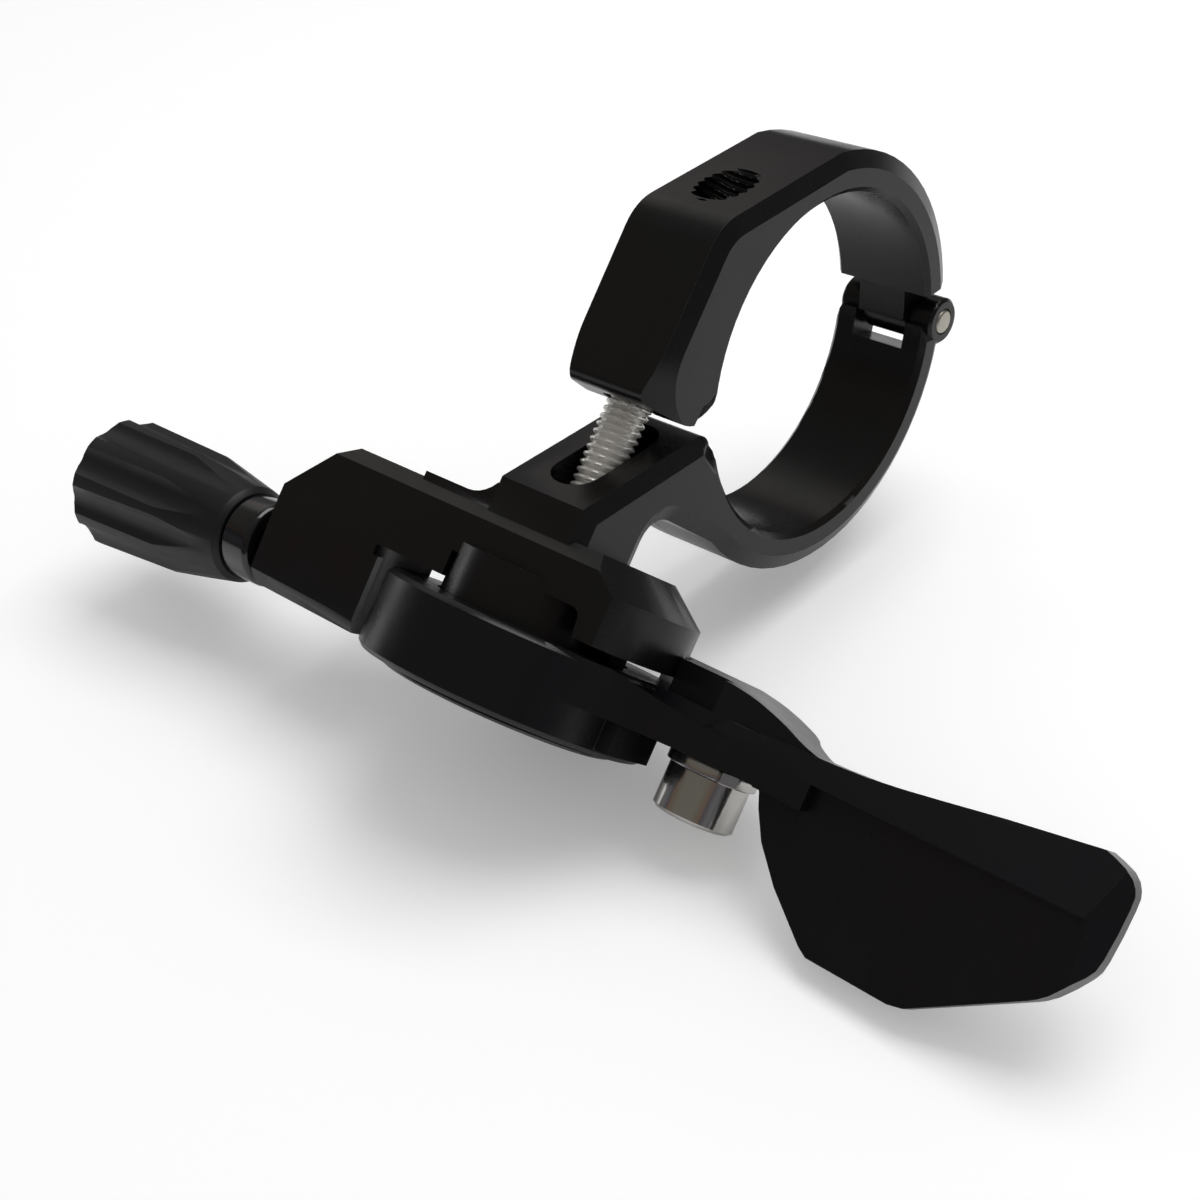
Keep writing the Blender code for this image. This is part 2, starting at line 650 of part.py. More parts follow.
def pivot_profile():
    """The shoulder that the bearing's inner ring seats on, and the spigot through it."""
    top = PLATE_BOTTOM_Z + NOTCH_H + PAST
    return [(0, top), (PIVOT_SHOULDER_R, top), (PIVOT_SHOULDER_R, SHOULDER_Z), (SPIGOT_R, SHOULDER_Z),
            (SPIGOT_R, SPIGOT_END_Z), (0, SPIGOT_END_Z)]


def stop_recess(name, low, high):
    outline = arc((0, PIVOT_Y), STOP_R, STOP_START, STOP_START + STOP_SWEEP, 12)
    outline += arc((0, PIVOT_Y), PIVOT_SHOULDER_R + PAST, STOP_START + STOP_SWEEP, STOP_START, 12)
    return flat_solid(name, outline, "XY", low, high, tools)


def cut_notch(plate):
    """The notch in the plate's front, which leaves the hook at its right."""
    right = HOOK_CORNER_X - HOOK_T
    top = PLATE_BOTTOM_Z + NOTCH_H
    outline = [(NOTCH_LEFT_X, PLATE_BOTTOM_Z - PAST), (right, PLATE_BOTTOM_Z - PAST)]
    outline += arc((right - 1.2 * MM, top - 0.9 * MM), 0.9 * MM, 0, 90, 4)
    outline += [(NOTCH_LEFT_X, top)]
    cut(plate, flat_solid("front_notch", outline, "XZ", PLATE_FRONT_Y - PAST, PLATE_FRONT_Y + NOTCH_DEPTH, tools))


def build_main_body():
    body = flat_solid("main_body", lower_clamp_outline(), "YZ", -HALF_W, HALF_W, parts)
    chamfer_rim(body, 0, (-HALF_W, HALF_W), CLAMP_CHAMFER)
    plate, extras = add_plate()
    cut_notch(plate)
    join(body, plate, *extras)
    join(body, add_cable_boss())
    join(body, turned("pivot_spigot", pivot_profile(), tools, 48, about(0, PIVOT_Y)))
    join(body, knuckle("ear_knuckle", HALF_W, 0.3 * MM))
    slot_half = TONGUE_WIDTH / 2 + GAP
    reach = RING_R + 5 * PAST
    ear_slot = [polar(CORE_R - PAST, EAR_SLOT_ANGLE), polar(reach, EAR_SLOT_ANGLE), polar(reach, HINGE_ANGLE + 20),
                polar(CORE_R - PAST, HINGE_ANGLE + 20)]
    cut(body, flat_solid("ear_slot", ear_slot, "YZ", -slot_half, slot_half, tools))
    cut(body, bore_cutter("lower_bore"), pin_hole("ear_hole"))
    cut_bolt_way(body)
    cut(body, stop_recess("stop_recess", SHOULDER_Z - PAST, PLATE_BOTTOM_Z))
    cut_cable_bore(body)
    weld(body)
    finish_piece(body, ANODISED)


# Pivot bearing

def race(name, plain_r, track_r):
    """A bearing ring, plain on one side and grooved for the balls on the other."""
    groove_r = BALL_R + GAP
    half = math.degrees(math.acos(abs(BALL_PITCH_R - track_r) / groove_r))
    middle = 180 if track_r < BALL_PITCH_R else 0
    turn = half if track_r < BALL_PITCH_R else -half
    edge = math.copysign(0.2 * MM, plain_r - track_r)
    groove = arc((BALL_PITCH_R, BALL_Z), groove_r, middle - turn, middle + turn, 6)
    profile = [(plain_r - edge, BEARING_TOP_Z), (track_r, BEARING_TOP_Z), *groove, (track_r, BEARING_BOTTOM_Z),
               (plain_r - edge, BEARING_BOTTOM_Z), (plain_r, BEARING_BOTTOM_Z + abs(edge)),
               (plain_r, BEARING_TOP_Z - abs(edge))]
    finish_piece(turned(name, profile, parts, 40, about(0, PIVOT_Y)), BEARING_STEEL)


def ring_piece(name, inner, outer, low, high, look, steps=36):
    ring = turned(name, [(outer, high), (outer, low), (inner, low), (inner, high)], parts, steps,
                  about(0, PIVOT_Y))
    finish_piece(ring, look)
    return ring


def build_bearing():
    race("bearing_inner_ring", BEARING_BORE_R, INNER_RACE_R)
    race("bearing_outer_ring", BEARING_R, OUTER_RACE_R)
    inner = INNER_RACE_R + GAP
    outer = OUTER_RACE_R - GAP
    cage = ring_piece("bearing_cage", inner, outer, BALL_Z - GAP, BALL_Z + CAGE_H - GAP, BLACK_PLASTIC, 28)
    cage_top = BALL_Z + BALL_R + GAP
    for i in range(BALL_COUNT):
        angle = 2 * math.pi * i / BALL_COUNT
        spot = Vector((BALL_PITCH_R * math.cos(angle), PIVOT_Y + BALL_PITCH_R * math.sin(angle), BALL_Z))
        outward = Matrix.Translation(spot) @ Matrix.Rotation(angle, 4, "Z") @ ALONG_X
        cut(cage, cylinder(f"cage_pocket_{i + 1:02d}", BALL_R + GAP, -PAST, PAST, tools, 12, outward))
        bm = bmesh.new()
        bmesh.ops.create_icosphere(bm, subdivisions=2, radius=BALL_R)
        mesh = bpy.data.meshes.new("ball")
        bm.to_mesh(mesh)
        bm.free()
        ball = place_object(f"bearing_ball_{i + 1:02d}", mesh, parts)
        ball.location = spot
        finish_piece(ball, BEARING_STEEL)
    ring_piece("bearing_seal_upper", inner, outer, BEARING_TOP_Z - SEAL_H, BEARING_TOP_Z, SEAL_RUBBER)
    ring_piece("bearing_seal_lower", inner, outer, BEARING_BOTTOM_Z, BEARING_BOTTOM_Z + SEAL_H, SEAL_RUBBER)


def build_retainer():
    """The hollow screw that holds the bearing on the spigot."""
    sleeve = SPIGOT_BORE_R - GAP
    step = INNER_RACE_R
    edge = 0.15 * MM
    profile = [(RETAINER_BORE_R, SLEEVE_TOP_Z), (sleeve, SLEEVE_TOP_Z), (sleeve, RETAINER_TOP_Z),
               (step, RETAINER_TOP_Z), (step, FLANGE_TOP_Z), (RETAINER_R, FLANGE_TOP_Z),
               (RETAINER_R, FLANGE_BOTTOM_Z + edge), (RETAINER_R - edge, FLANGE_BOTTOM_Z),
               (RETAINER_BORE_R, FLANGE_BOTTOM_Z)]
    pivot = about(0, PIVOT_Y)
    retainer = turned("bearing_retainer", profile, parts, 48, pivot)
    cut(retainer, cylinder("retainer_hexagon", RETAINER_HEX / math.sqrt(3), FLANGE_BOTTOM_Z - PAST,
                           FLANGE_BOTTOM_Z + RETAINER_HEX_DEPTH, tools, 6, pivot))
    finish_piece(retainer, ANODISED)


# Lever

def hub_profile():
    lip_bottom = SHOULDER_Z
    seat_r = BEARING_R + GAP
    lip_r = PIVOT_SHOULDER_R + GAP
    return [(lip_r, HUB_TOP_Z), (HUB_R - HUB_EDGE, HUB_TOP_Z), (HUB_R, HUB_TOP_Z - HUB_EDGE),
            (HUB_R, HUB_BOTTOM_Z + HUB_EDGE), (HUB_R - HUB_EDGE, HUB_BOTTOM_Z), (seat_r, HUB_BOTTOM_Z),
            (seat_r, lip_bottom), (lip_r, lip_bottom)]


PIVOT = (0.0, PIVOT_Y)
ARM_FRONT = [(11.4 * MM, -24.2 * MM), (14.5 * MM, -21.6 * MM), (17.8 * MM, -18.4 * MM), (23.0 * MM, PADDLE_FRONT_Y)]
ARM_LEFT_R = 10.0 * MM


def arm_outline():
    """The arm's flange in plan, from inside the hub to the paddle."""
    back_y = PADDLE_FRONT_Y + PADDLE_T
    outline = [polar(HUB_R - PAST, -50, PIVOT), polar(HUB_R - 0.1 * MM, -42, PIVOT)]
    outline += smooth(ARM_FRONT, 4)
    outline += [(32 * MM, PADDLE_FRONT_Y), (32 * MM, back_y)]
    outline += smooth([(29.5 * MM, back_y), (25.0 * MM, -10.2 * MM), (21.0 * MM, ARM_BACK_Y),
                       (15.0 * MM, ARM_BACK_Y + 0.6 * MM), polar(HUB_R - 0.1 * MM, 62, PIVOT)], 4)
    outline += arc(PIVOT, HUB_R - PAST, 62, -50, 10)
    return outline


def rib_outline():
    """The raised part of the arm, concentric with the plate's round end on its inner side."""
    inner = PLATE_END_R + RIB_INNER_GAP
    back_y = PADDLE_FRONT_Y + PADDLE_T - 0.1 * MM
    set_back = RIB_SETBACK
    outline = arc(PIVOT, inner, RIB_END, RIB_START, 16)
    outline += smooth([(12.6 * MM, -23.9 * MM), (15.2 * MM, -21.6 * MM + set_back), (18.6 * MM, -18.3 * MM + set_back),
                       (23.0 * MM, PADDLE_FRONT_Y + 0.5 * MM), (32 * MM, PADDLE_FRONT_Y + 0.1 * MM)], 4)
    outline += [(32 * MM, back_y)]
    outline += smooth([(29.3 * MM, back_y), (25.0 * MM, -10.6 * MM), (21.0 * MM, ARM_BACK_Y - 0.5 * MM)], 4)
    outline += [polar(inner + 3.2 * MM, RIB_END, PIVOT)]
    return outline


def slope_cutter():
    """The concave run from the raised part down to the paddle's top, higher at the back."""
    start_x = 20.5 * MM
    run = smooth([(start_x, RIB_TOP_Z + 0.15 * MM), (23.6 * MM, -29.9 * MM), (27.0 * MM, -31.0 * MM),
                  (32.5 * MM, -31.3 * MM)], 5)
    outline = run + [(33 * MM, RIB_TOP_Z + 2 * PAST), (start_x - 2 * PAST, RIB_TOP_Z + 2 * PAST)]
    cutter = flat_solid("arm_slope", outline, "XZ", -6 * MM, 12 * MM, tools)
    lean = about(0, PADDLE_FRONT_Y, RIB_TOP_Z) @ Matrix.Rotation(math.radians(5), 4, "X") @ about(0, 0, -RIB_TOP_Z)
    cutter.data.transform(lean)
    return cutter


def paddle_outline():
    end = PADDLE_END_X
    top = smooth([(23.0 * MM, -31.4 * MM), (32.8 * MM, -31.1 * MM), (44.0 * MM, -29.4 * MM),
                  (end - 2.6 * MM, -28.3 * MM)], 4)
    corner = smooth([(end - 2.6 * MM, -28.3 * MM), (end - 0.4 * MM, -29.2 * MM), (end, -30.4 * MM)], 3)[1:]
    bottom = [(end - 1.0 * MM, -37.5 * MM), (end - 3.2 * MM, -40.0 * MM), (42.3 * MM, PADDLE_BOTTOM_Z + 0.3 * MM),
              (41.0 * MM, PADDLE_BOTTOM_Z), (33.5 * MM, PADDLE_BOTTOM_Z), (32.6 * MM, PADDLE_BOTTOM_Z + 0.5 * MM),
              (28.8 * MM, -41.9 * MM), (25.6 * MM, -39.0 * MM), (24.4 * MM, -37.0 * MM), (24.0 * MM, ARM_BOTTOM_Z + 0.1 * MM)]
    return top + corner + bottom + [(22.0 * MM, ARM_BOTTOM_Z + 0.1 * MM)]


def build_paddle():
    back = PADDLE_FRONT_Y + PADDLE_T
    paddle = flat_solid("paddle", paddle_outline(), "XZ", PADDLE_FRONT_Y, back, tools)
    reach = 40 * MM
    crease = about(28.4 * MM, PADDLE_FRONT_Y, CREASE_Z)
    band = crease @ Matrix.Rotation(math.radians(-BAND_LEAN), 4, "X")
    cut(paddle, block("band_slope", (-reach / 4, -reach / 4, 0), (reach, 0, reach / 4), tools, band))
    face = crease @ Matrix.Rotation(math.radians(-FACE_TURN), 4, "Z") @ Matrix.Rotation(
        math.radians(FACE_LEAN), 4, "X")
    face = about(0, 0.9 * MM, 0) @ face
    cut(paddle, block("face_slope", (0, -reach / 4, -reach / 2), (reach, 0, 0), tools, face))
    corner = about(PADDLE_END_X - PADDLE_END_FACET, PADDLE_FRONT_Y, 0) @ Matrix.Rotation(math.radians(35), 4, "Z")
    cut(paddle, block("end_facet", (0, -reach / 4, -2 * reach), (reach / 4, 0, 0), tools, corner))
    return paddle


def build_lever():
    lever = turned("lever", hub_profile(), parts, 64, about(*PIVOT))
    arm = flat_solid("arm", arm_outline(), "XY", ARM_BOTTOM_Z, HUB_TOP_Z, tools)
    rib = flat_solid("arm_rib", rib_outline(), "XY", ARM_BOTTOM_Z + PAST, RIB_TOP_Z, tools)
    join(arm, rib)
    cut(arm, slope_cutter())
    join(lever, arm, build_paddle())
    pivot = about(*PIVOT)
    cut(lever, cylinder("bearing_seat", BEARING_R + GAP, HUB_BOTTOM_Z - PAST, SHOULDER_Z, tools, 64, pivot))
    lug_start = STOP_START + STOP_CLEARANCE
    inner = STOP_R + GAP
    outline = arc(PIVOT, inner, lug_start, lug_start + LUG_SWEEP, 5)
    outline += arc(PIVOT, PIVOT_SHOULDER_R + PAST, lug_start + LUG_SWEEP, lug_start, 5)
    join(lever, flat_solid("stop_lug", outline, "XY", SHOULDER_Z + 0.1 * MM, HUB_TOP_Z - 0.1 * MM, tools))
    cut(lever, cylinder("cable_bolt_hole", BOLT_R + GAP, ARM_BOTTOM_Z - PAST,
                        ARM_BOTTOM_Z - WASHER_T + CABLE_BOLT_LENGTH, tools, 32, about(CABLE_BOLT_X, CABLE_BOLT_Y)))
    finish_piece(lever, ANODISED)


def build_cable_clamp():
    washer_top = ARM_BOTTOM_Z - SEAT
    centre = about(CABLE_BOLT_X, CABLE_BOLT_Y)
    profile = [(WASHER_R, washer_top), (WASHER_R, washer_top - WASHER_T), (BOLT_R + GAP, washer_top - WASHER_T),
               (BOLT_R + GAP, washer_top)]
    washer = turned("cable_clamp_washer", profile, parts, 40, centre)
    tab = block("washer_tab", (WASHER_R - PAST, -WASHER_TAB / 2, washer_top - WASHER_T), (
        WASHER_R + 0.5 * MM, WASHER_TAB / 2, washer_top), tools, centre @ Matrix.Rotation(math.radians(-40), 4, "Z"))
    join(washer, tab)
    finish_piece(washer, STAINLESS)
    socket_bolt("cable_clamp_bolt", BOLT_HEAD_R, BOLT_HEAD_H, BOLT_R, CABLE_BOLT_LENGTH - GAP, BOLT_SOCKET,
                about(CABLE_BOLT_X, CABLE_BOLT_Y, washer_top - WASHER_T - SEAT), STAINLESS)


# Barrel adjuster, along its own axis from the boss's face outward

def build_barrel():
    collar_out = COLLAR_GAP + COLLAR_L
    knob_in = collar_out + SEAT
    knob_out = knob_in + KNOB_L
    cavity_r = KNOB_NECK_R - KNOB_WALL / 2
    shoulder = knob_in + KNOB_CONE_L
    edge = 0.5 * MM
    knob_profile = [(HOUSING_R, knob_out - edge), (HOUSING_R + edge, knob_out), (KNOB_R - edge, knob_out),
                    (KNOB_R, knob_out - edge), (KNOB_SHOULDER_R, shoulder), (KNOB_NECK_R, knob_in + edge),
                    (KNOB_NECK_R - edge, knob_in), (cavity_r, knob_in), (cavity_r, shoulder),
                    (BARREL_THREAD_R + GAP, shoulder + edge), (BARREL_THREAD_R + GAP, knob_out - HOUSING_DEPTH),
                    (HOUSING_R, knob_out - HOUSING_DEPTH)]
    knob = turned("barrel_knob", knob_profile, parts, 64, BARREL_PLACE)
    for i in range(KNOB_RIBS):
        turn = Matrix.Rotation(2 * math.pi * i / KNOB_RIBS, 4, "Z")
        lean = Matrix.Rotation(math.radians(-4), 4, "Y")
        spot = BARREL_PLACE @ turn @ about(KNOB_R + KNOB_GROOVE_R * 0.45, 0, knob_out) @ lean
        cut(knob, cylinder(f"knob_groove_{i + 1:02d}", KNOB_GROOVE_R, 2 * PAST - KNOB_L, PAST, tools, 12, spot))
    weld(knob)
    finish_piece(knob, BLACK_PLASTIC)
    tube_end = knob_out - HOUSING_DEPTH - GAP
    screw = [(CABLE_HOLE_R, tube_end), (BARREL_THREAD_R, tube_end), (BARREL_THREAD_R, BOLT_TIP - BARREL_THREAD_L),
             (BARREL_THREAD_R - BOLT_TIP, -BARREL_THREAD_L), (CABLE_HOLE_R, -BARREL_THREAD_L)]
    finish_piece(turned("adjuster_screw", screw, parts, 36, BARREL_PLACE), ANODISED)
    edge = 0.4 * MM
    collar = [(BARREL_THREAD_R + GAP, collar_out), (COLLAR_R, collar_out), (COLLAR_R, COLLAR_GAP + edge),
              (COLLAR_R - edge, COLLAR_GAP), (BARREL_THREAD_R + GAP, COLLAR_GAP)]
    finish_piece(turned("detent_collar", collar, parts, 40, BARREL_PLACE), GLOSS_PLASTIC)


def build():
    clear_scene()
    build_upper_clamp()
    socket_bolt("clamp_bolt", BOLT_HEAD_R, BOLT_HEAD_H, BOLT_R, BOLT_LENGTH, BOLT_SOCKET,
                about(0, PIVOT_Y, HEAD_TOP_Z), STAINLESS)
    build_main_body()
    build_bearing()
    build_retainer()
    build_lever()
    build_cable_clamp()
    build_barrel()


build()
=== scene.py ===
"""Dropper post remote lever: the look of the part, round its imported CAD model.

The rigid pieces that show most are modelled again with rounded edges and
threads, in the same frame. The others keep their CAD shape.
"""
import json
import math

import bmesh
import bpy
from mathutils import Matrix, Vector

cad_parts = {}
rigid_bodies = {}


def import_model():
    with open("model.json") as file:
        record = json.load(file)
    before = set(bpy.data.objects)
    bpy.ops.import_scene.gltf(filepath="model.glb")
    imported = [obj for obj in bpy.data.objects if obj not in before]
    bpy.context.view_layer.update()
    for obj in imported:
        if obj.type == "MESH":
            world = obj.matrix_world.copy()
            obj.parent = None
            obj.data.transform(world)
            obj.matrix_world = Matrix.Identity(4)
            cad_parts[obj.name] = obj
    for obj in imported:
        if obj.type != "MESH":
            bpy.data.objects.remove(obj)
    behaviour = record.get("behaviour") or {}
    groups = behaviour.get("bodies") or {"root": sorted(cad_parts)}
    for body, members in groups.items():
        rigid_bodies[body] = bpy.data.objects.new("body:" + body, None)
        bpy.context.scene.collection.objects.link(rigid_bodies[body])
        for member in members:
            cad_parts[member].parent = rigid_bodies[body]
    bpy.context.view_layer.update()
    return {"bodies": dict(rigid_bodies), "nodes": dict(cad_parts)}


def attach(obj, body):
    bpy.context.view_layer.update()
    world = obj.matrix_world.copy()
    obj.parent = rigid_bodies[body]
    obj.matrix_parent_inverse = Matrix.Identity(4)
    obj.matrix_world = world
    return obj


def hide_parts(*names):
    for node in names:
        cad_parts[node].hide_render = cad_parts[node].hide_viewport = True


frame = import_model()

MM = 0.001

# Fits
GAP = 0.3 * MM
SEAT = 0.1 * MM
PIN_FIT = 0.1 * MM
PAST = 1.0 * MM
SEAM = 0.01 * MM

# Clamp ring
BAR_R = 15.9 * MM
RING_WALL = 3.6 * MM
CLAMP_WIDTH = 10.7 * MM
RIM_CHAMFER = 1.5 * MM
RIM_CHAMFER_SIDE = 0.75 * MM
BORE_CHAMFER = 0.5 * MM
BORE_STOCK = 3.0 * MM

# Clamp hinge
HINGE_OUT = 0.6 * MM
HINGE_ANGLE = 33.5
SHOULDER_ANGLE = 45.0
EAR_SLOT_ANGLE = 24.0
PIN_R = 1.2 * MM
KNUCKLE_R = 2.3 * MM
TONGUE_WIDTH = 5.2 * MM
TONGUE_EDGE = 0.2 * MM
TONGUE_CUT = 15.0
EAR_EDGE = 0.3 * MM
EAR_CUT = 20.0

# Upper clamp's bolt boss
FLAT_DROP = 0.35 * MM
BOSS_FRONT = 4.5 * MM
BOSS_FILLET = 5.0 * MM
BOSS_END_ANGLE = 44.8
BOSS_EDGE_R = 1.1 * MM
BOSS_FLARE_R = 5.0 * MM
BOSS_TOE = 2.7 * MM
BOSS_ROUND = 4.5 * MM
BOSS_TOE_END = 337.5

# Clamp bolt and pivot axis
PIVOT_FROM_BAR = 2.2 * MM
BOLT_R = 2.0 * MM
BOLT_LENGTH = 30.0 * MM
BOLT_HEAD_R = 3.5 * MM
BOLT_HEAD_H = 4.0 * MM
BOLT_SOCKET = 3.0 * MM
BOLT_HEAD_EDGE = 0.35 * MM
SHANK_SINK = 0.2 * MM
CLAMP_OPENING = 3.0

# Lower jaw and post
JAW_TIP_ANGLE = 43.8
JAW_TIP_R = 1.6 * MM
JAW_TIP_WALL = 0.4 * MM
JAW_TIP_SINK = 0.2 * MM
JAW_TIP_TURN = 4.0
JAW_SLOPE = 42.7
UNDERSIDE_RISE = 0.7 * MM
POST_FRONT = 6.1 * MM
POST_BACK = 2.9 * MM
POST_FILLET = 2.5 * MM
POST_SIDE_FILLET = 3.5 * MM
SLOT_START = 2.0 * MM
SLOT_END = 13.5 * MM
SLOT_DEPTH = 4.5 * MM
PASSAGE_BACK = 0.2 * MM

# Body plate
PLATE_BELOW_RING = 4.15 * MM
PLATE_T = 6.95 * MM
PLATE_FRONT = 6.9 * MM
PLATE_LEFT_X = -27.1 * MM
PLATE_END_R = 13.2 * MM
PLATE_CHAMFER = 1.3 * MM
END_CHAMFER_IN = 3.5 * MM
END_CHAMFER_DOWN = 2.75 * MM
CORNER_CUT_X = 5.9 * MM
CORNER_CUT_Z = 5.7 * MM
STEP_LEFT_X = -12.8 * MM
STEP_H = 0.5 * MM
STEP_SETBACK = 0.2 * MM
SEAT_T = 2.35 * MM

# Notch and hook in the plate's front
NOTCH_LEFT_X = -5.7 * MM
HOOK_T = 2.0 * MM
NOTCH_H = 2.25 * MM
NOTCH_DEPTH = 4.5 * MM
NOTCH_CORNER_R = 0.9 * MM
NOTCH_CORNER_IN = 1.2 * MM

# Cable boss
CABLE_BOSS_H = 8.1 * MM
CABLE_BOSS_DEPTH = 9.0 * MM
CABLE_BOSS_CHAMFER = 1.5 * MM
BOSS_FACE_LEAN = 2.5
CABLE_BOSS_END_R = 14.8 * MM
CABLE_HOLE_R = 1.1 * MM
CABLE_HOLE_L = 20.0 * MM

# Pivot
PIVOT_SHOULDER_R = 8.5 * MM
PIVOT_SHOULDER_H = 2.4 * MM
SPIGOT_WALL = 1.2 * MM
LEVER_UNDER_PLATE = 1.05 * MM
STOP_R = 7.0 * MM
STOP_START = -30.0
STOP_SWEEP = 62.0
LUG_SWEEP = 23.0
STOP_CLEARANCE = 2.0
LUG_GAP = 0.1 * MM

# Pivot bearing
BEARING_BORE_R = 7.5 * MM
BEARING_R = 10.75 * MM
BEARING_H = 5.0 * MM
RACE_WALL = 1.1 * MM

# Bearing retainer
RETAINER_R = 10.6 * MM
RETAINER_T = 0.45 * MM
RETAINER_STEP = 0.2 * MM
RETAINER_SLEEVE_L = 4.8 * MM
RETAINER_BORE_R = 3.9 * MM
RETAINER_HEX = 8.0 * MM
RETAINER_HEX_DEPTH = 2.5 * MM
RETAINER_EDGE = 0.15 * MM
RETAINER_ROUND = 0.08 * MM

# Lever hub and arm
HUB_WALL = 2.05 * MM
HUB_H = 7.0 * MM
HUB_EDGE = 0.4 * MM
ARM_T = 3.8 * MM
ARM_BACK = 10.4 * MM
ARM_WAIST_IN = 3.6 * MM
ARM_WAIST_DROP = 2.4 * MM
ARM_SHOULDER_IN = 7.6 * MM
ARM_ROOT_TURN = 12.0
ARM_ROOT_START = 20.0
RIB_H = 2.85 * MM
RIB_INNER_GAP = 0.3 * MM
RIB_END = 86.0
RIB_SETBACK = 0.9 * MM
RIB_FRONT_LENGTH = 5.6 * MM
SLOPE_TURN = 9.0
ARM_TWIST = 3.0
CABLE_STOP_HALF = 3.0 * MM
CABLE_STOP_DROP = 2.6 * MM
CABLE_STOP_T = 1.0 * MM

# Paddle
PADDLE_BEHIND_PIVOT = 1.9 * MM
PADDLE_T = 3.2 * MM
PADDLE_REACH = 41.2 * MM
CREASE_DROP = 1.65 * MM
CREASE_START = 15.9 * MM
BAND_LEAN = 14.0
FACE_LEAN = 5.0
FACE_TURN = 1.5
FACE_RECESS = 0.9 * MM
PADDLE_END_FACET = 2.1 * MM
PADDLE_FACET_ANGLE = 42.0
PADDLE_LAP = 0.1 * MM
PADDLE_ROOT_IN = 0.7 * MM

# Cable clamp on the arm
CABLE_BOLT_FROM_HUB = 1.4 * MM
CABLE_BOLT_BACK = 5.7 * MM
CABLE_BOLT_LENGTH = 6.4 * MM
WASHER_R = 3.9 * MM
WASHER_T = 1.0 * MM
WASHER_TAB = 1.6 * MM
WASHER_TAB_OUT = 0.7 * MM
WASHER_TAB_ANGLE = -40.0

# Barrel adjuster
BARREL_AHEAD = 2.4 * MM
BARREL_BELOW_PLATE = 4.4 * MM
BARREL_DROP = 3.0
BARREL_THREAD_R = 2.5 * MM
BARREL_THREAD_L = 9.0 * MM
COLLAR_GAP = 1.9 * MM
COLLAR_L = 3.6 * MM
KNOB_L = 20.1 * MM
KNOB_R = 6.6 * MM
KNOB_SHOULDER_R = 6.1 * MM
KNOB_NECK_R = 4.7 * MM
KNOB_CONE_L = 8.0 * MM
KNOB_FLUTES = 10
KNOB_FLUTE_R = 2.4 * MM
KNOB_FLUTE_DEPTH = 0.6 * MM
KNOB_FLUTE_LEAN = 3.0
KNOB_FLUTE_TURN = 24.0
KNOB_WALL = 1.5 * MM
KNOB_EDGE = 0.5 * MM
KNOB_ROUND = 0.22 * MM
HOUSING_R = 2.6 * MM
HOUSING_DEPTH = 9.0 * MM

# Derived places
RING_R = BAR_R + RING_WALL
HALF_W = CLAMP_WIDTH / 2
HINGE_R = RING_R - HINGE_OUT
HINGE_Y = HINGE_R * math.cos(math.radians(HINGE_ANGLE))
HINGE_Z = HINGE_R * math.sin(math.radians(HINGE_ANGLE))
FLAT_R = RING_R - FLAT_DROP
PIVOT_Y = -(BAR_R + PIVOT_FROM_BAR)
PIVOT = (0.0, PIVOT_Y)
CORE_R = BAR_R - BORE_STOCK
BOSS_FRONT_Y = PIVOT_Y - BOSS_FRONT
BOSS_BOTTOM_Z = -BAR_R * math.sin(math.radians(BOSS_END_ANGLE))
JAW_TIP_Z = -BAR_R * math.sin(math.radians(JAW_TIP_ANGLE))
PLATE_TOP_Z = -RING_R - PLATE_BELOW_RING
PLATE_BOTTOM_Z = PLATE_TOP_Z - PLATE_T
PLATE_FRONT_Y = PIVOT_Y - PLATE_FRONT
POST_FRONT_Y = PIVOT_Y - POST_FRONT
POST_BACK_Y = PIVOT_Y + POST_BACK
HEAD_SEAT_Z = PLATE_TOP_Z - SEAT_T
HEAD_TOP_Z = HEAD_SEAT_Z - GAP
HEAD_TRAVEL = (HINGE_Z - HEAD_TOP_Z + BOLT_HEAD_H / 2) * math.sin(math.radians(CLAMP_OPENING))
HOOK_CORNER_X = math.sqrt(PLATE_END_R ** 2 - PLATE_FRONT ** 2)
SHOULDER_Z = PLATE_BOTTOM_Z - PIVOT_SHOULDER_H
BEARING_TOP_Z = SHOULDER_Z - GAP
BEARING_BOTTOM_Z = BEARING_TOP_Z - BEARING_H
INNER_RACE_R = BEARING_BORE_R + RACE_WALL
SPIGOT_R = BEARING_BORE_R - GAP
SPIGOT_BORE_R = SPIGOT_R - SPIGOT_WALL
HUB_R = BEARING_R + GAP + HUB_WALL
HUB_TOP_Z = PLATE_BOTTOM_Z - LEVER_UNDER_PLATE
HUB_BOTTOM_Z = HUB_TOP_Z - HUB_H
RETAINER_TOP_Z = BEARING_BOTTOM_Z - GAP
FLANGE_TOP_Z = RETAINER_TOP_Z - RETAINER_STEP
FLANGE_BOTTOM_Z = FLANGE_TOP_Z - RETAINER_T
SPIGOT_END_Z = RETAINER_TOP_Z + GAP
SLEEVE_TOP_Z = RETAINER_TOP_Z + RETAINER_SLEEVE_L
ARM_BOTTOM_Z = HUB_TOP_Z - ARM_T
RIB_TOP_Z = HUB_TOP_Z + RIB_H
ARM_BACK_Y = PIVOT_Y + ARM_BACK
PADDLE_FRONT_Y = PIVOT_Y + PADDLE_BEHIND_PIVOT
PADDLE_BACK_Y = PADDLE_FRONT_Y + PADDLE_T
PADDLE_END_X = HUB_R + PADDLE_REACH
CREASE_Z = HUB_TOP_Z - CREASE_DROP
CREASE_START_X = HUB_R + CREASE_START
CABLE_BOLT_X = HUB_R + CABLE_BOLT_FROM_HUB + WASHER_R
CABLE_BOLT_Y = PIVOT_Y + CABLE_BOLT_BACK
BARREL_Y = PIVOT_Y - BARREL_AHEAD
BARREL_Z = PLATE_BOTTOM_Z - BARREL_BELOW_PLATE

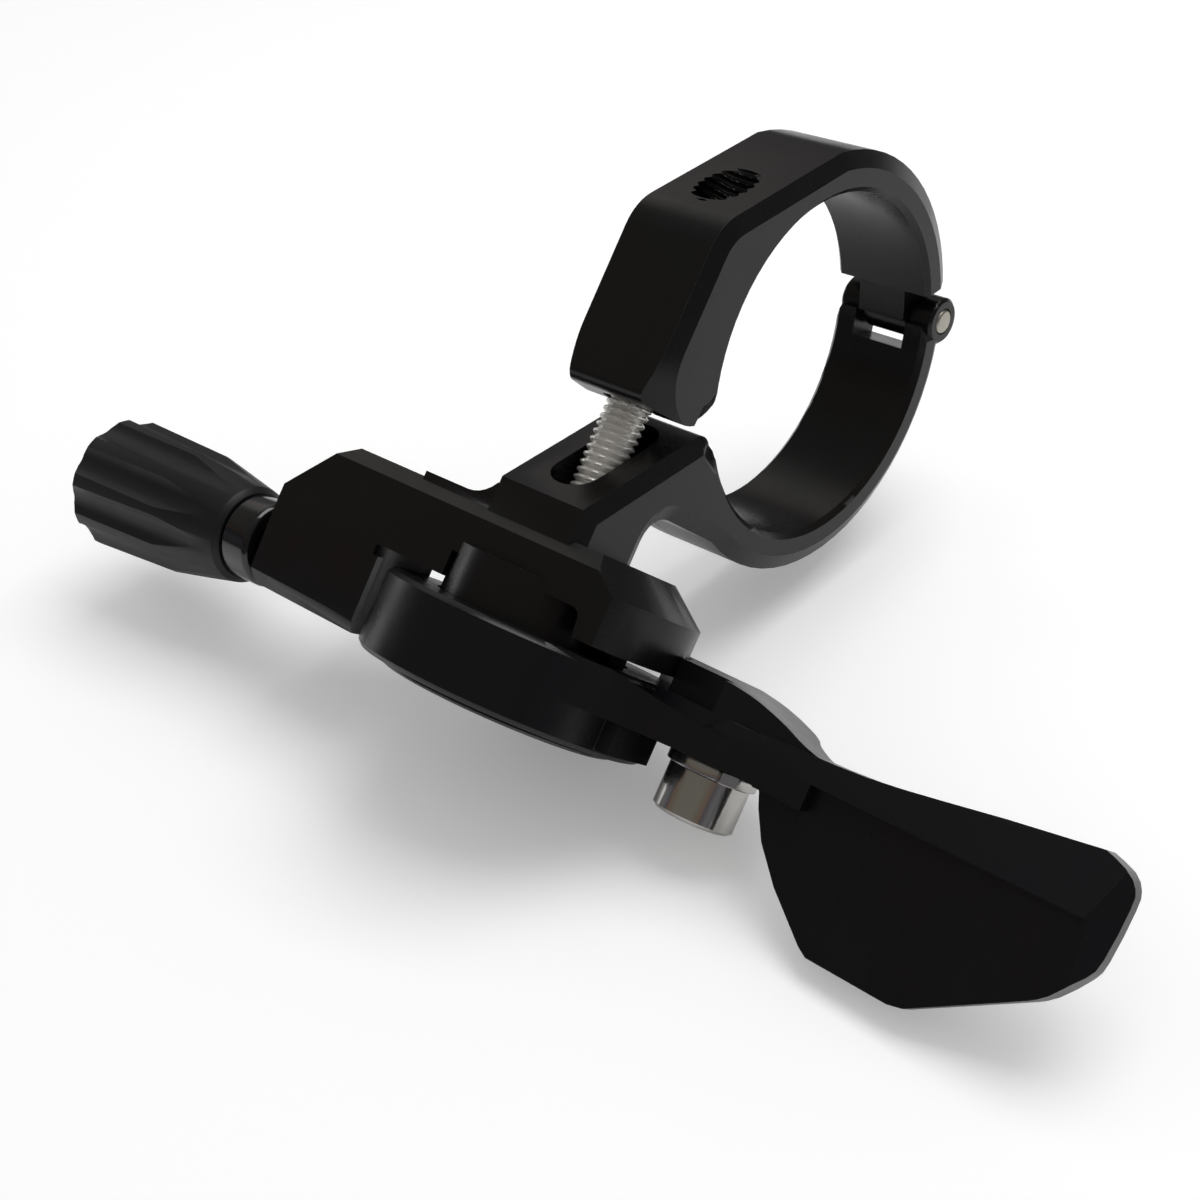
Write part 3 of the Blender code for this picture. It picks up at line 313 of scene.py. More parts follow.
# Edges, threads and the cleaning of meshes
EDGE = 0.16 * MM
PIN_ROUND = 0.1 * MM
COLLAR_ROUND = 0.3 * MM
ROUNDED_FROM = 24
SHARP_FROM = 40
SHARP_FROM_PLAIN = 30
FLAT_WITHIN = 0.4
WELD = 0.001 * MM
FACE_WELD = 0.003 * MM
SLIVER = 0.002 * MM
THREAD_PITCH = 0.7 * MM
THREAD_DEPTH = 0.36 * MM
THREAD_ROWS = 12
THREAD_SIDES = 60
THREAD_CREST = 1.35

parts = bpy.data.collections.new("dressed")
tools = bpy.data.collections.new("cutters")
for home in (parts, tools):
    bpy.context.scene.collection.children.link(home)


# Looks

BROAD_GRAIN = 160
COAT_ROUGHNESS = 0.08
BUMP_HEIGHT = 0.02 * MM


def grainy(name, colour, roughness, metallic, grain, bump, spread=0.06, tint=None, coat=0.0, specular=0.5):
    """A surface whose roughness and height vary with fine noise, and its colour with broad noise."""
    look = bpy.data.materials.new(name)
    look.use_nodes = True
    nodes = look.node_tree.nodes
    link = look.node_tree.links.new
    shader = nodes["Principled BSDF"]
    shader.inputs["Metallic"].default_value = metallic
    shader.inputs["Specular IOR Level"].default_value = specular
    shader.inputs["Coat Weight"].default_value = coat
    shader.inputs["Coat Roughness"].default_value = COAT_ROUGHNESS
    place = nodes.new("ShaderNodeTexCoord")
    fine = nodes.new("ShaderNodeTexNoise")
    fine.inputs["Scale"].default_value = grain
    fine.inputs["Detail"].default_value = 4
    broad = nodes.new("ShaderNodeTexNoise")
    broad.inputs["Scale"].default_value = BROAD_GRAIN
    broad.inputs["Detail"].default_value = 3
    link(place.outputs["Object"], fine.inputs["Vector"])
    link(place.outputs["Object"], broad.inputs["Vector"])
    rough = nodes.new("ShaderNodeMapRange")
    rough.inputs["From Min"].default_value = 0.3
    rough.inputs["From Max"].default_value = 0.7
    rough.inputs["To Min"].default_value = roughness - spread
    rough.inputs["To Max"].default_value = roughness + spread
    link(broad.outputs["Fac"], rough.inputs["Value"])
    link(rough.outputs["Result"], shader.inputs["Roughness"])
    ramp = nodes.new("ShaderNodeValToRGB")
    ramp.color_ramp.elements[0].position = 0.35
    ramp.color_ramp.elements[1].position = 0.65
    ramp.color_ramp.elements[0].color = (*colour, 1)
    ramp.color_ramp.elements[1].color = (*(tint or colour), 1)
    link(broad.outputs["Fac"], ramp.inputs["Fac"])
    link(ramp.outputs["Color"], shader.inputs["Base Color"])
    height = nodes.new("ShaderNodeBump")
    height.inputs["Strength"].default_value = bump
    height.inputs["Distance"].default_value = BUMP_HEIGHT
    link(fine.outputs["Fac"], height.inputs["Height"])
    link(height.outputs["Normal"], shader.inputs["Normal"])
    look.diffuse_color = (*colour, 1)
    return look


BODY_BLACK = grainy("body_anodised", (0.0052, 0.0044, 0.004), 0.25, 0.0, 9000, 0.3,
                    tint=(0.0036, 0.0035, 0.0038), specular=0.32)
LEVER_BLACK = grainy("lever_anodised", (0.0046, 0.0043, 0.0056), 0.27, 0.0, 9000, 0.3,
                     tint=(0.0036, 0.0036, 0.0044), specular=0.32)
# Edge material: the rounded edges of the black pieces are painted lighter, a painted highlight that stands in
# for the glints along their machined edges.
EDGE_HIGHLIGHT_PAINT = grainy("painted_edge_highlights", (0.085, 0.083, 0.08), 0.32, 0.0, 6000, 0.2, 0.08, (0.02, 0.02, 0.021))
STAINLESS = grainy("stainless_steel", (0.62, 0.6, 0.57), 0.14, 1.0, 6000, 0.2, 0.04, (0.56, 0.54, 0.52))
# Part diffuse steel for the clamp bolt: its light base colour is painted brightness, a painted reflection
# that stands in for the bright reflections on the thread.
THREAD_STEEL = grainy("thread_steel", (0.74, 0.72, 0.68), 0.26, 0.6, 6000, 0.2, 0.04, (0.66, 0.64, 0.6))
PIN_STEEL = grainy("pin_end_steel", (0.46, 0.43, 0.38), 0.38, 1.0, 7000, 0.5, 0.05, (0.4, 0.38, 0.34))
BEARING_STEEL = grainy("bearing_steel", (0.55, 0.55, 0.56), 0.16, 1.0, 6000, 0.2, 0.04, (0.5, 0.5, 0.51))
KNOB_PLASTIC = grainy("knob_plastic", (0.0075, 0.0075, 0.0092), 0.42, 0.0, 5000, 0.35, 0.04,
                      (0.006, 0.006, 0.0078), specular=0.35)
CAGE_PLASTIC = grainy("cage_plastic", (0.03, 0.03, 0.03), 0.55, 0.0, 5000, 0.6, 0.05, (0.025, 0.025, 0.025))
COLLAR_PLASTIC = grainy("collar_plastic", (0.003, 0.003, 0.0035), 0.14, 0.0, 4000, 0.15, 0.03, coat=0.4)
SEAL_RUBBER = grainy("seal_rubber", (0.02, 0.02, 0.02), 0.7, 0.0, 4000, 0.8, 0.05, (0.016, 0.016, 0.016))


# Modelling helpers

PLANES = {
    "XY": (Matrix(((1, 0, 0), (0, 1, 0), (0, 0, 1))), Vector((0, 0, 1))),
    "YZ": (Matrix(((0, 0, 1), (1, 0, 0), (0, 1, 0))), Vector((1, 0, 0))),
    "XZ": (Matrix(((1, 0, 0), (0, 0, -1), (0, 1, 0))), Vector((0, 1, 0))),
}


def arc(centre, radius, start, end, steps):
    """Points on an arc, with its angles in degrees."""
    points = []
    for i in range(steps + 1):
        angle = math.radians(start + (end - start) * i / steps)
        points.append((centre[0] + radius * math.cos(angle), centre[1] + radius * math.sin(angle)))
    return points


def polar(radius, angle, centre=(0.0, 0.0)):
    return arc(centre, radius, angle, angle, 1)[0]


def smooth(points, steps):
    """Points on a smooth curve through the given ones."""
    ends = [points[0]] + points + [points[-1]]
    curve = []
    for a, b, c, d in zip(ends, ends[1:], ends[2:], ends[3:]):
        for i in range(steps):
            t = i / steps
            curve.append(tuple(
                0.5 * (2 * q + (r - p) * t + (2 * p - 5 * q + 4 * r - s) * t * t
                       + (3 * q - p - 3 * r + s) * t ** 3)
                for p, q, r, s in zip(a, b, c, d)))
    return curve + [points[-1]]


def place_object(name, mesh, home):
    made = bpy.data.objects.new(name, mesh)
    home.objects.link(made)
    if home is tools:
        made.hide_render = True
        made.display_type = "WIRE"
    return made


def baked(thing):
    """The evaluated mesh of an object, welded and facing out. The object is removed."""
    bpy.context.view_layer.update()
    depsgraph = bpy.context.evaluated_depsgraph_get()
    mesh = bpy.data.meshes.new_from_object(thing.evaluated_get(depsgraph))
    bm = bmesh.new()
    bm.from_mesh(mesh)
    bmesh.ops.remove_doubles(bm, verts=bm.verts, dist=WELD)
    bmesh.ops.recalc_face_normals(bm, faces=bm.faces)
    bm.to_mesh(mesh)
    bm.free()
    bpy.data.objects.remove(thing)
    return mesh


def flat_solid(name, outline, plane, low, high, home=tools):
    """An outline, given on one plane, made a solid from low to high across it."""
    curve = bpy.data.curves.new(name, "CURVE")
    curve.dimensions = "2D"
    curve.fill_mode = "BOTH"
    curve.extrude = (high - low) / 2
    spline = curve.splines.new("POLY")
    spline.points.add(len(outline) - 1)
    spline.use_cyclic_u = True
    for point, (a, b) in zip(spline.points, outline):
        point.co = (a, b, 0, 1)
    flat = place_object(name + "_outline", curve, tools)
    mesh = baked(flat)
    turn, across = PLANES[plane]
    mesh.transform(Matrix.Translation(across * (low + high) / 2) @ turn.to_4x4())
    mesh.name = name
    return place_object(name, mesh, home)


def turned(name, profile, steps, place, home=tools):
    """A profile of (radius, height) points turned about Z, then placed."""
    on_axis = profile[0][0] == 0
    mesh = bpy.data.meshes.new(name)
    edges = [(i, i + 1) for i in range(len(profile) - 1)]
    if not on_axis:
        edges.append((len(profile) - 1, 0))
    mesh.from_pydata([(r, 0, z) for r, z in profile], edges, [])
    spun = place_object(name + "_profile", mesh, tools)
    screw = spun.modifiers.new("turn", "SCREW")
    screw.axis = "Z"
    screw.steps = steps
    screw.render_steps = steps
    screw.use_merge_vertices = True
    screw.merge_threshold = WELD
    solid = baked(spun)
    solid.name = name
    solid.transform(place)
    return place_object(name, solid, home)


def cutter_from(bm, name, place):
    """A cutter with the shape that bm holds, placed."""
    if place:
        bm.transform(place)
    mesh = bpy.data.meshes.new(name)
    bm.to_mesh(mesh)
    bm.free()
    return place_object(name, mesh, tools)


def cylinder(name, radius, low, high, steps, place=None):
    """A plain cylinder about Z from low to high, then placed."""
    bm = bmesh.new()
    bmesh.ops.create_cone(bm, cap_ends=True, segments=steps, radius1=radius, radius2=radius,
                          depth=high - low)
    bmesh.ops.translate(bm, verts=bm.verts, vec=(0, 0, (low + high) / 2))
    return cutter_from(bm, name, place)


def block(name, low, high, place=None):
    """A box between two corners, then placed."""
    low = Vector(low)
    high = Vector(high)
    bm = bmesh.new()
    bmesh.ops.create_cube(bm, size=1)
    bmesh.ops.scale(bm, verts=bm.verts, vec=high - low)
    bmesh.ops.translate(bm, verts=bm.verts, vec=(low + high) / 2)
    return cutter_from(bm, name, place)


def chamfer_rim(piece, axis, levels, width, keep=None):
    """Chamfers the outline's edges on the flat ends of a solid."""
    bm = bmesh.new()
    bm.from_mesh(piece.data)
    bmesh.ops.dissolve_limit(bm, angle_limit=0.001, verts=bm.verts, edges=bm.edges)
    rim = []
    for edge in bm.edges:
        at_level = any(all(abs(v.co[axis] - level) < WELD for v in edge.verts) for level in levels)
        if at_level and (keep is None or all(keep(v.co) for v in edge.verts)):
            rim.append(edge)
    bmesh.ops.bevel(bm, geom=rim, offset=width, offset_type="OFFSET", segments=1, profile=0.5,
                    affect="EDGES", clamp_overlap=False)
    bm.to_mesh(piece.data)
    bm.free()


def boolean(piece, other, operation):
    step = piece.modifiers.new(operation.lower() + "_" + other.name, "BOOLEAN")
    step.operation = operation
    step.solver = "EXACT"
    step.object = other


def cut(piece, *others):
    for other in others:
        boolean(piece, other, "DIFFERENCE")


def join(piece, *others):
    for other in others:
        boolean(piece, other, "UNION")


def about(x, y, z=0.0):
    return Matrix.Translation((x, y, z))


def rotated(angle, axis):
    """A turn about an axis, with its angle in degrees."""
    return Matrix.Rotation(math.radians(angle), 4, axis)


PIVOT_PLACE = about(*PIVOT)


def body_of(node):
    """The name of the CAD body that a node rides on."""
    parent = frame["nodes"][node].parent
    for name, empty in frame["bodies"].items():
        if empty == parent:
            return name
    return None


def threaded(name, radius, low, high, place):
    """A closed right-hand threaded rod about Z: rings of points whose radius follows the thread."""
    rows = int((high - low) / THREAD_PITCH * THREAD_ROWS)
    bm = bmesh.new()
    rings = []
    for row in range(rows + 1):
        z = low + (high - low) * row / rows
        ring = []
        for side in range(THREAD_SIDES):
            turn = side / THREAD_SIDES
            phase = (z / THREAD_PITCH - turn) % 1
            ridge = min(1, THREAD_CREST * (1 - abs(2 * phase - 1)))
            r = radius - THREAD_DEPTH * (1 - ridge)
            angle = 2 * math.pi * turn
            ring.append(bm.verts.new((r * math.cos(angle), r * math.sin(angle), z)))
        rings.append(ring)
    for below, above in zip(rings, rings[1:]):
        for i in range(THREAD_SIDES):
            j = (i + 1) % THREAD_SIDES
            bm.faces.new((below[i], below[j], above[j], above[i]))
    bm.faces.new(list(reversed(rings[0])))
    bm.faces.new(rings[-1])
    return cutter_from(bm, name, place)


def soften(piece, edge):
    """Cleans the flat faces, shades the round ones smooth and rounds the sharp edges."""
    bm = bmesh.new()
    bm.from_mesh(piece.data)
    bmesh.ops.remove_doubles(bm, verts=bm.verts, dist=FACE_WELD)
    bmesh.ops.dissolve_degenerate(bm, edges=bm.edges, dist=SLIVER)
    bmesh.ops.dissolve_limit(bm, angle_limit=math.radians(FLAT_WITHIN), verts=bm.verts, edges=bm.edges)
    bmesh.ops.recalc_face_normals(bm, faces=bm.faces)
    bm.to_mesh(piece.data)
    bm.free()
    piece.data.shade_smooth()
    if edge:
        rounded = piece.modifiers.new("rounded_edges", "BEVEL")
        rounded.width = edge
        rounded.segments = 2
        rounded.limit_method = "ANGLE"
        rounded.angle_limit = math.radians(ROUNDED_FROM)
        # The rounded edges take the last material, which on the black pieces is the painted edge highlight.
        rounded.material = len(piece.data.materials) - 1
        rounded.miter_outer = "MITER_ARC"
    else:
        piece.data.set_sharp_from_angle(angle=math.radians(SHARP_FROM_PLAIN))


def dress(piece, look, node, edge=EDGE, sharp_cuts=()):
    """Bakes a piece's cuts, rounds its edges, and puts it in the place of its CAD node."""
    mesh = baked(piece)
    done = place_object(node + "_blank", mesh, parts)
    mesh.materials.clear()
    mesh.materials.append(look)
    # The black pieces get a second material, the painted edge highlight for their rounded edges.
    if look in (BODY_BLACK, LEVER_BLACK):
        mesh.materials.append(EDGE_HIGHLIGHT_PAINT)
    soften(done, edge)
    cut(done, *sharp_cuts)
    mesh = baked(done)
    mesh.shade_smooth()
    mesh.set_sharp_from_angle(angle=math.radians(SHARP_FROM))
    done = place_object(node + "_dressed", mesh, parts)
    even = done.modifiers.new("even_shading", "WEIGHTED_NORMAL")
    even.keep_sharp = True
    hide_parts(node)
    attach(done, body_of(node))
    return done


def refine(node, look, edge):
    """The CAD node's own shape with rounded edges."""
    mesh = frame["nodes"][node].data.copy()
    return dress(place_object(node + "_copy", mesh, parts), look, node, edge)


def recolour(node, look):
    """Gives a CAD node that keeps its shape a better material."""
    thing = frame["nodes"][node]
    thing.data.materials.clear()
    thing.data.materials.append(look)


# Clamp

ALONG_X = rotated(90, "Y")
HINGE_PLACE = about(0, HINGE_Y, HINGE_Z) @ ALONG_X


def bore_cutter(name):
    """The bar's space, flared at both ends for the bore's chamfers."""
    flare = BORE_CHAMFER + PAST
    profile = [(0, HALF_W + PAST), (BAR_R + flare, HALF_W + PAST), (BAR_R, HALF_W - BORE_CHAMFER),
               (BAR_R, -HALF_W + BORE_CHAMFER), (BAR_R + flare, -HALF_W - PAST), (0, -HALF_W - PAST)]
    return turned(name, profile, 72, ALONG_X)


def knuckle(name, half_width, edge):
    profile = [(0, half_width), (KNUCKLE_R - edge, half_width), (KNUCKLE_R, half_width - edge),
               (KNUCKLE_R, edge - half_width), (KNUCKLE_R - edge, -half_width), (0, -half_width)]
    return turned(name, profile, 40, HINGE_PLACE)


def pin_hole(name):
    return cylinder(name, PIN_R + PIN_FIT, -HALF_W - PAST, HALF_W + PAST, 32, HINGE_PLACE)


def slope_point(along, inward=0.0):
    """A point on the lower jaw's sloped face, measured up from its lower end."""
    slope = math.radians(JAW_SLOPE)
    y = POST_FRONT_Y + along * math.cos(slope) + inward * math.sin(slope)
    z = slope_base_z() + along * math.sin(slope) - inward * math.cos(slope)
    return y, z


def jaw_tip_centre():
    """The tip's round lies against the bore's wall and reaches the tip's height."""
    z = JAW_TIP_Z - JAW_TIP_R
    y = -math.sqrt((BAR_R + JAW_TIP_R + JAW_TIP_WALL) ** 2 - z * z)
    return y, z


def slope_base_z():
    """The height at which the sloped face meets the post's front."""
    slope = math.radians(JAW_SLOPE)
    y, z = jaw_tip_centre()
    top_y = y - JAW_TIP_R * math.sin(slope)
    top_z = z + JAW_TIP_R * math.cos(slope)
    return top_z - (top_y - POST_FRONT_Y) * math.tan(slope)


def clamp_blank(name, outline, keep=None):
    """An outline made as wide as the clamp, with rims chamfered deeper than they are wide."""
    stretch = RIM_CHAMFER / RIM_CHAMFER_SIDE
    half = HALF_W * stretch
    blank = flat_solid(name, outline, "YZ", -half, half, parts)
    chamfer_rim(blank, 0, (-half, half), RIM_CHAMFER, keep)
    blank.data.transform(Matrix.Diagonal((1 / stretch, 1, 1, 1)))
    return blank


def lower_clamp_outline():
    tip = jaw_tip_centre()
    underside = -RING_R + UNDERSIDE_RISE
    fillet = (POST_BACK_Y + POST_FILLET, underside - POST_FILLET)
    tip_inner = math.degrees(math.atan2(tip[1], tip[0]))
    ring_end = -180 + math.degrees(math.asin(-underside / RING_R))
    inside_plate = PLATE_TOP_Z - RIM_CHAMFER - PAST
    outline = arc((0, 0), RING_R, HINGE_ANGLE, ring_end, 24)
    outline += arc(fillet, POST_FILLET, 90, 180, 6)
    outline += [(POST_BACK_Y, inside_plate), (POST_FRONT_Y, inside_plate)]
    outline += [(POST_FRONT_Y, slope_base_z())]
    outline += arc(tip, JAW_TIP_R, 90 + JAW_SLOPE, 45, 6)
    outline += [polar(BAR_R - JAW_TIP_SINK, tip_inner + JAW_TIP_TURN)]
    outline += arc((0, 0), CORE_R, tip_inner + JAW_TIP_TURN + 1, HINGE_ANGLE, 12)
    return outline


def upper_clamp_outline():
    """The ring's upper half, the flat over the boss and the boss's straight front."""
    flat_start = 135 - math.degrees(math.acos(FLAT_R / RING_R))
    corner_z = BOSS_FRONT_Y + FLAT_R * math.sqrt(2)
    reach = BOSS_FILLET * math.tan(math.radians(22.5))
    fillet = (BOSS_FRONT_Y + BOSS_FILLET, corner_z - reach)
    edge = (BOSS_FRONT_Y + BOSS_EDGE_R, BOSS_BOTTOM_Z + BOSS_EDGE_R)
    bottom_round = (-BAR_R - BOSS_ROUND + BOSS_TOE, BOSS_BOTTOM_Z + BOSS_ROUND)
    toe = arc(bottom_round, BOSS_ROUND, 270, BOSS_TOE_END, 8)
    bore_end = math.degrees(math.atan2(toe[-1][1], toe[-1][0])) % 360
    outline = arc((0, 0), RING_R, HINGE_ANGLE, flat_start, 18)
    outline += arc(fillet, BOSS_FILLET, 135, 180, 6)
    outline += arc(edge, BOSS_EDGE_R, 180, 270, 4)
    outline += toe
    outline += [polar(BAR_R, bore_end)]
    outline += arc((0, 0), CORE_R, bore_end, HINGE_ANGLE, 14)
    return outline


def flare_cutter(side):
    """The wider run of the rim's chamfer round the boss's lower front corner."""
    centre_y = BOSS_FRONT_Y + RIM_CHAMFER + BOSS_FLARE_R
    centre_z = BOSS_BOTTOM_Z + BOSS_FLARE_R
    slope = RIM_CHAMFER / RIM_CHAMFER_SIDE
    inner = HALF_W - 4 * RIM_CHAMFER_SIDE
    outer = HALF_W + PAST
    cone = [(0, side * outer), (BOSS_FLARE_R + (HALF_W - outer) * slope, side * outer),
            (BOSS_FLARE_R + (HALF_W - inner + PAST) * slope, side * (inner - PAST)),
            (0, side * (inner - PAST))]
    reach = 2 * BOSS_FLARE_R
    near, far = sorted((side * inner, side * outer))
    corner = block(f"boss_flare_{side}", (near, centre_y - reach, centre_z - reach),
                   (far, centre_y, centre_z))
    cut(corner, turned(f"boss_flare_cone_{side}", cone, 64, about(0, centre_y, centre_z) @ ALONG_X))
    return corner


def build_upper_clamp():
    keep_above = BOSS_BOTTOM_Z + BOSS_EDGE_R / 2
    clamp = clamp_blank("upper_clamp_blank", upper_clamp_outline(), lambda co: co.z > keep_above)
    cut(clamp, flare_cutter(-1), flare_cutter(1))
    join(clamp, knuckle("tongue_knuckle", TONGUE_WIDTH / 2, TONGUE_EDGE))
    reach = RING_R + 4 * PAST
    end = HINGE_ANGLE - TONGUE_CUT
    below = [polar(CORE_R - PAST, SHOULDER_ANGLE), polar(reach, SHOULDER_ANGLE), polar(reach, end),
             polar(CORE_R - PAST, end)]
    for side in (-1, 1):
        near, far = sorted((side * TONGUE_WIDTH / 2, side * (HALF_W + PAST)))
        cut(clamp, flat_solid(f"tongue_side_{side}", below, "YZ", near, far))
    cut(clamp, bore_cutter("upper_bore"), pin_hole("tongue_hole"))
    hole_r = BOLT_R + GAP + THREAD_DEPTH / 2
    mouth = cylinder("upper_bolt_mouth", hole_r, BOSS_BOTTOM_Z - PAST, BOSS_BOTTOM_Z + THREAD_PITCH,
                     48, PIVOT_PLACE)
    thread = threaded("upper_bolt_thread", hole_r, BOSS_BOTTOM_Z, RING_R, PIVOT_PLACE)
    dress(clamp, BODY_BLACK, "upper_clamp", EDGE, [mouth, thread])


def socket_bolt(node, length, place, look):
    """A socket head cap screw with a cut thread: head below, shank up from height 0."""
    head_r = BOLT_HEAD_R
    head_h = BOLT_HEAD_H
    edge = BOLT_HEAD_EDGE
    profile = [(0, 0), (head_r, 0), (head_r, edge - head_h)]
    profile += arc((head_r - 2 * edge, 2 * edge - head_h), 2 * edge, 0, -90, 3)[1:] + [(0, -head_h)]
    head = turned(node + "_head", profile, 64, place, parts)
    shank = threaded(node + "_shank", BOLT_R, -SHANK_SINK, length, place)
    socket_r = BOLT_SOCKET / math.sqrt(3)
    socket = cylinder(node + "_socket", socket_r, -head_h - PAST, -head_h / 2, 6, place)
    join(head, shank)
    cut(head, socket)
    dress(head, look, node, 0)


# Body


def stadium(radius, front_y, back_y, steps=10):
    """A slot's outline in plan between two Y limits, round at both ends."""
    front = (0, front_y + radius)
    back = (0, back_y - radius)
    return arc(front, radius, 180, 360, steps) + arc(back, radius, 0, 180, steps)


def rear_tangent():
    """Where the plate's rear edge leaves its round end, as an angle about the pivot."""
    corner = Vector((PLATE_LEFT_X, PLATE_FRONT_Y + CABLE_BOSS_DEPTH - PIVOT_Y))
    return math.degrees(math.atan2(corner.y, corner.x) - math.acos(PLATE_END_R / corner.length))


def plate_outline():
    front = math.degrees(math.asin(-PLATE_FRONT / PLATE_END_R))
    outline = [(PLATE_LEFT_X, PLATE_FRONT_Y + CABLE_BOSS_DEPTH), (PLATE_LEFT_X, PLATE_FRONT_Y)]
    return outline + arc(PIVOT, PLATE_END_R, front, rear_tangent(), 26)


def end_chamfer_section():
    """The section cut from the plate's round end and rear edge, as (inward, height)."""
    slope = END_CHAMFER_DOWN / END_CHAMFER_IN
    over = 2 * PAST
    return [(-over, PLATE_TOP_Z - END_CHAMFER_DOWN - over * slope),
            (END_CHAMFER_IN + over, PLATE_TOP_Z + over * slope), (-over, PLATE_TOP_Z + over * slope)]


def cut_plate_edges(body):
    section = end_chamfer_section()
    profile = [(PLATE_END_R - inward, z) for inward, z in section]
    cone = turned("end_chamfer", profile, 80, PIVOT_PLACE)
    left = PIVOT_PLACE @ rotated(rear_tangent(), "Z")
    reach = 3 * PLATE_END_R
    cut(cone, block("end_chamfer_left", (-reach, 0, -reach), (reach, reach, reach), left))
    front = (PAST, -PLATE_END_R / 2, reach)
    cut(cone, block("end_chamfer_front", (-reach, -reach, -reach), front, PIVOT_PLACE))
    rear = flat_solid("rear_chamfer", profile, "XZ", -SEAM, reach)
    rear.data.transform(left)
    cut(body, cone, rear)
    chamfer = PLATE_CHAMFER + PAST
    above = PLATE_TOP_Z + PLATE_CHAMFER
    wedge = [(PLATE_FRONT_Y - PAST, PLATE_TOP_Z - chamfer), (PLATE_FRONT_Y + 2 * PLATE_CHAMFER, above),
             (PLATE_FRONT_Y - PAST, above)]
    cut(body, flat_solid("front_chamfer", wedge, "YZ", PLATE_LEFT_X - PAST, PLATE_END_R + PAST))
    corner = [(PLATE_LEFT_X - PAST, PLATE_TOP_Z - CORNER_CUT_Z * (1 + PAST / CORNER_CUT_X)),
              (PLATE_LEFT_X + CORNER_CUT_X * (1 + PAST / CORNER_CUT_Z), PLATE_TOP_Z + PAST),
              (PLATE_LEFT_X - PAST, PLATE_TOP_Z + PAST)]
    cut(body, flat_solid("corner_cut", corner, "XZ", PLATE_FRONT_Y - PAST, 0))


def add_plate():
    plate = flat_solid("plate", plate_outline(), "XY", PLATE_BOTTOM_Z, PLATE_TOP_Z)
    cut_plate_edges(plate)
    step_front = POST_FRONT_Y + STEP_SETBACK
    step = [(STEP_LEFT_X, step_front), (0, step_front), (0, POST_BACK_Y), (STEP_LEFT_X, POST_BACK_Y)]
    raised = flat_solid("raised_step", step, "XY", PLATE_TOP_Z - PAST, PLATE_TOP_Z + STEP_H)
    side = POST_SIDE_FILLET
    top = PLATE_TOP_Z + STEP_H + side
    fillet = [(-HALF_W + PAST, PLATE_TOP_Z - PAST), (-HALF_W + PAST, top)]
    fillet += arc((-HALF_W - side, top), side, 0, -90, 8)
    fillet += [(-HALF_W - side, PLATE_TOP_Z - PAST)]
    blend = flat_solid("side_fillet", fillet, "XZ", POST_FRONT_Y + RIM_CHAMFER, POST_BACK_Y - RIM_CHAMFER)
    slope = about(0, *slope_point(0, RIM_CHAMFER)) @ rotated(JAW_SLOPE, "X")
    reach = 3 * POST_FRONT
    cut(blend, block("side_fillet_slope", (-reach, -reach, 0), (reach, reach, reach), slope))
    return plate, [raised, blend]


def add_cable_boss():
    """The boss for the barrel adjuster, under the plate's left end."""
    bottom = PLATE_BOTTOM_Z - CABLE_BOSS_H
    back = PLATE_FRONT_Y + CABLE_BOSS_DEPTH
    edge = CABLE_BOSS_CHAMFER
    section = [(PLATE_FRONT_Y, PLATE_BOTTOM_Z + PAST), (PLATE_FRONT_Y, bottom + edge),
               (PLATE_FRONT_Y + edge, bottom), (back - edge, bottom), (back, bottom + edge),
               (back, PLATE_BOTTOM_Z + PAST)]
    boss = flat_solid("cable_boss", section, "YZ", PLATE_LEFT_X, 0)
    cut(boss, cylinder("hub_space", CABLE_BOSS_END_R, bottom - PAST, PLATE_BOTTOM_Z, 80, PIVOT_PLACE))
    lean = about(0, PLATE_FRONT_Y, PLATE_BOTTOM_Z) @ rotated(BOSS_FACE_LEAN, "X")
    reach = 3 * CABLE_BOSS_H
    cut(boss, block("boss_face_lean", (2 * PLATE_LEFT_X, -reach, -reach), (PAST, 0, 0), lean))
    cut(boss, block("boss_above_hub", (-CABLE_BOSS_END_R + PAST, PLATE_FRONT_Y - PAST, PLATE_BOTTOM_Z - PAST),
                    (PAST, back + PAST, PLATE_BOTTOM_Z + 2 * PAST)))
    return boss


BARREL_ALONG = rotated(-90 - BARREL_DROP, "Y")
BARREL_PLACE = about(PLATE_LEFT_X, BARREL_Y, BARREL_Z) @ BARREL_ALONG


def cut_cable_bore(body):
    cut(body, cylinder("barrel_thread_hole", BARREL_THREAD_R + GAP, -BARREL_THREAD_L - COLLAR_GAP, 3 * PAST,
                       32, BARREL_PLACE))
    cut(body, cylinder("cable_hole", CABLE_HOLE_R, -CABLE_HOLE_L, 0, 24, BARREL_PLACE))


def cut_bolt_way(body):
    """The slot in the jaw's face, the bolt's passage, its head's pocket and the way to it."""
    slot_r = BOLT_R + GAP
    slope = Matrix.Translation((0, *slope_point(0))) @ rotated(JAW_SLOPE, "X")
    slot = flat_solid("jaw_slot", stadium(slot_r, SLOT_START, SLOT_END), "XY", -SLOT_DEPTH, 3 * PAST)
    slot.data.transform(slope)
    travel = HEAD_TRAVEL + GAP
    shank = stadium(slot_r, PIVOT_Y - BOLT_R - travel, PIVOT_Y + BOLT_R + PASSAGE_BACK)
    passage = flat_solid("bolt_passage", shank, "XY", HEAD_SEAT_Z - PAST, slope_point(SLOT_END)[1])
    head = stadium(BOLT_HEAD_R + GAP, PIVOT_Y - BOLT_HEAD_R - travel, PIVOT_Y + BOLT_HEAD_R + GAP, 14)
    pocket = flat_solid("head_pocket", head, "XY", PLATE_BOTTOM_Z - PAST, HEAD_SEAT_Z)
    cut(body, slot, passage, pocket)
    cut(body, cylinder("key_way", BOLT_HEAD_R + 2 * GAP, SPIGOT_END_Z - PAST, PLATE_BOTTOM_Z, 40,
                       PIVOT_PLACE))
    cut(body, cylinder("sleeve_bore", SPIGOT_BORE_R, SPIGOT_END_Z - PAST, SLEEVE_TOP_Z + GAP, 48,
                       PIVOT_PLACE))


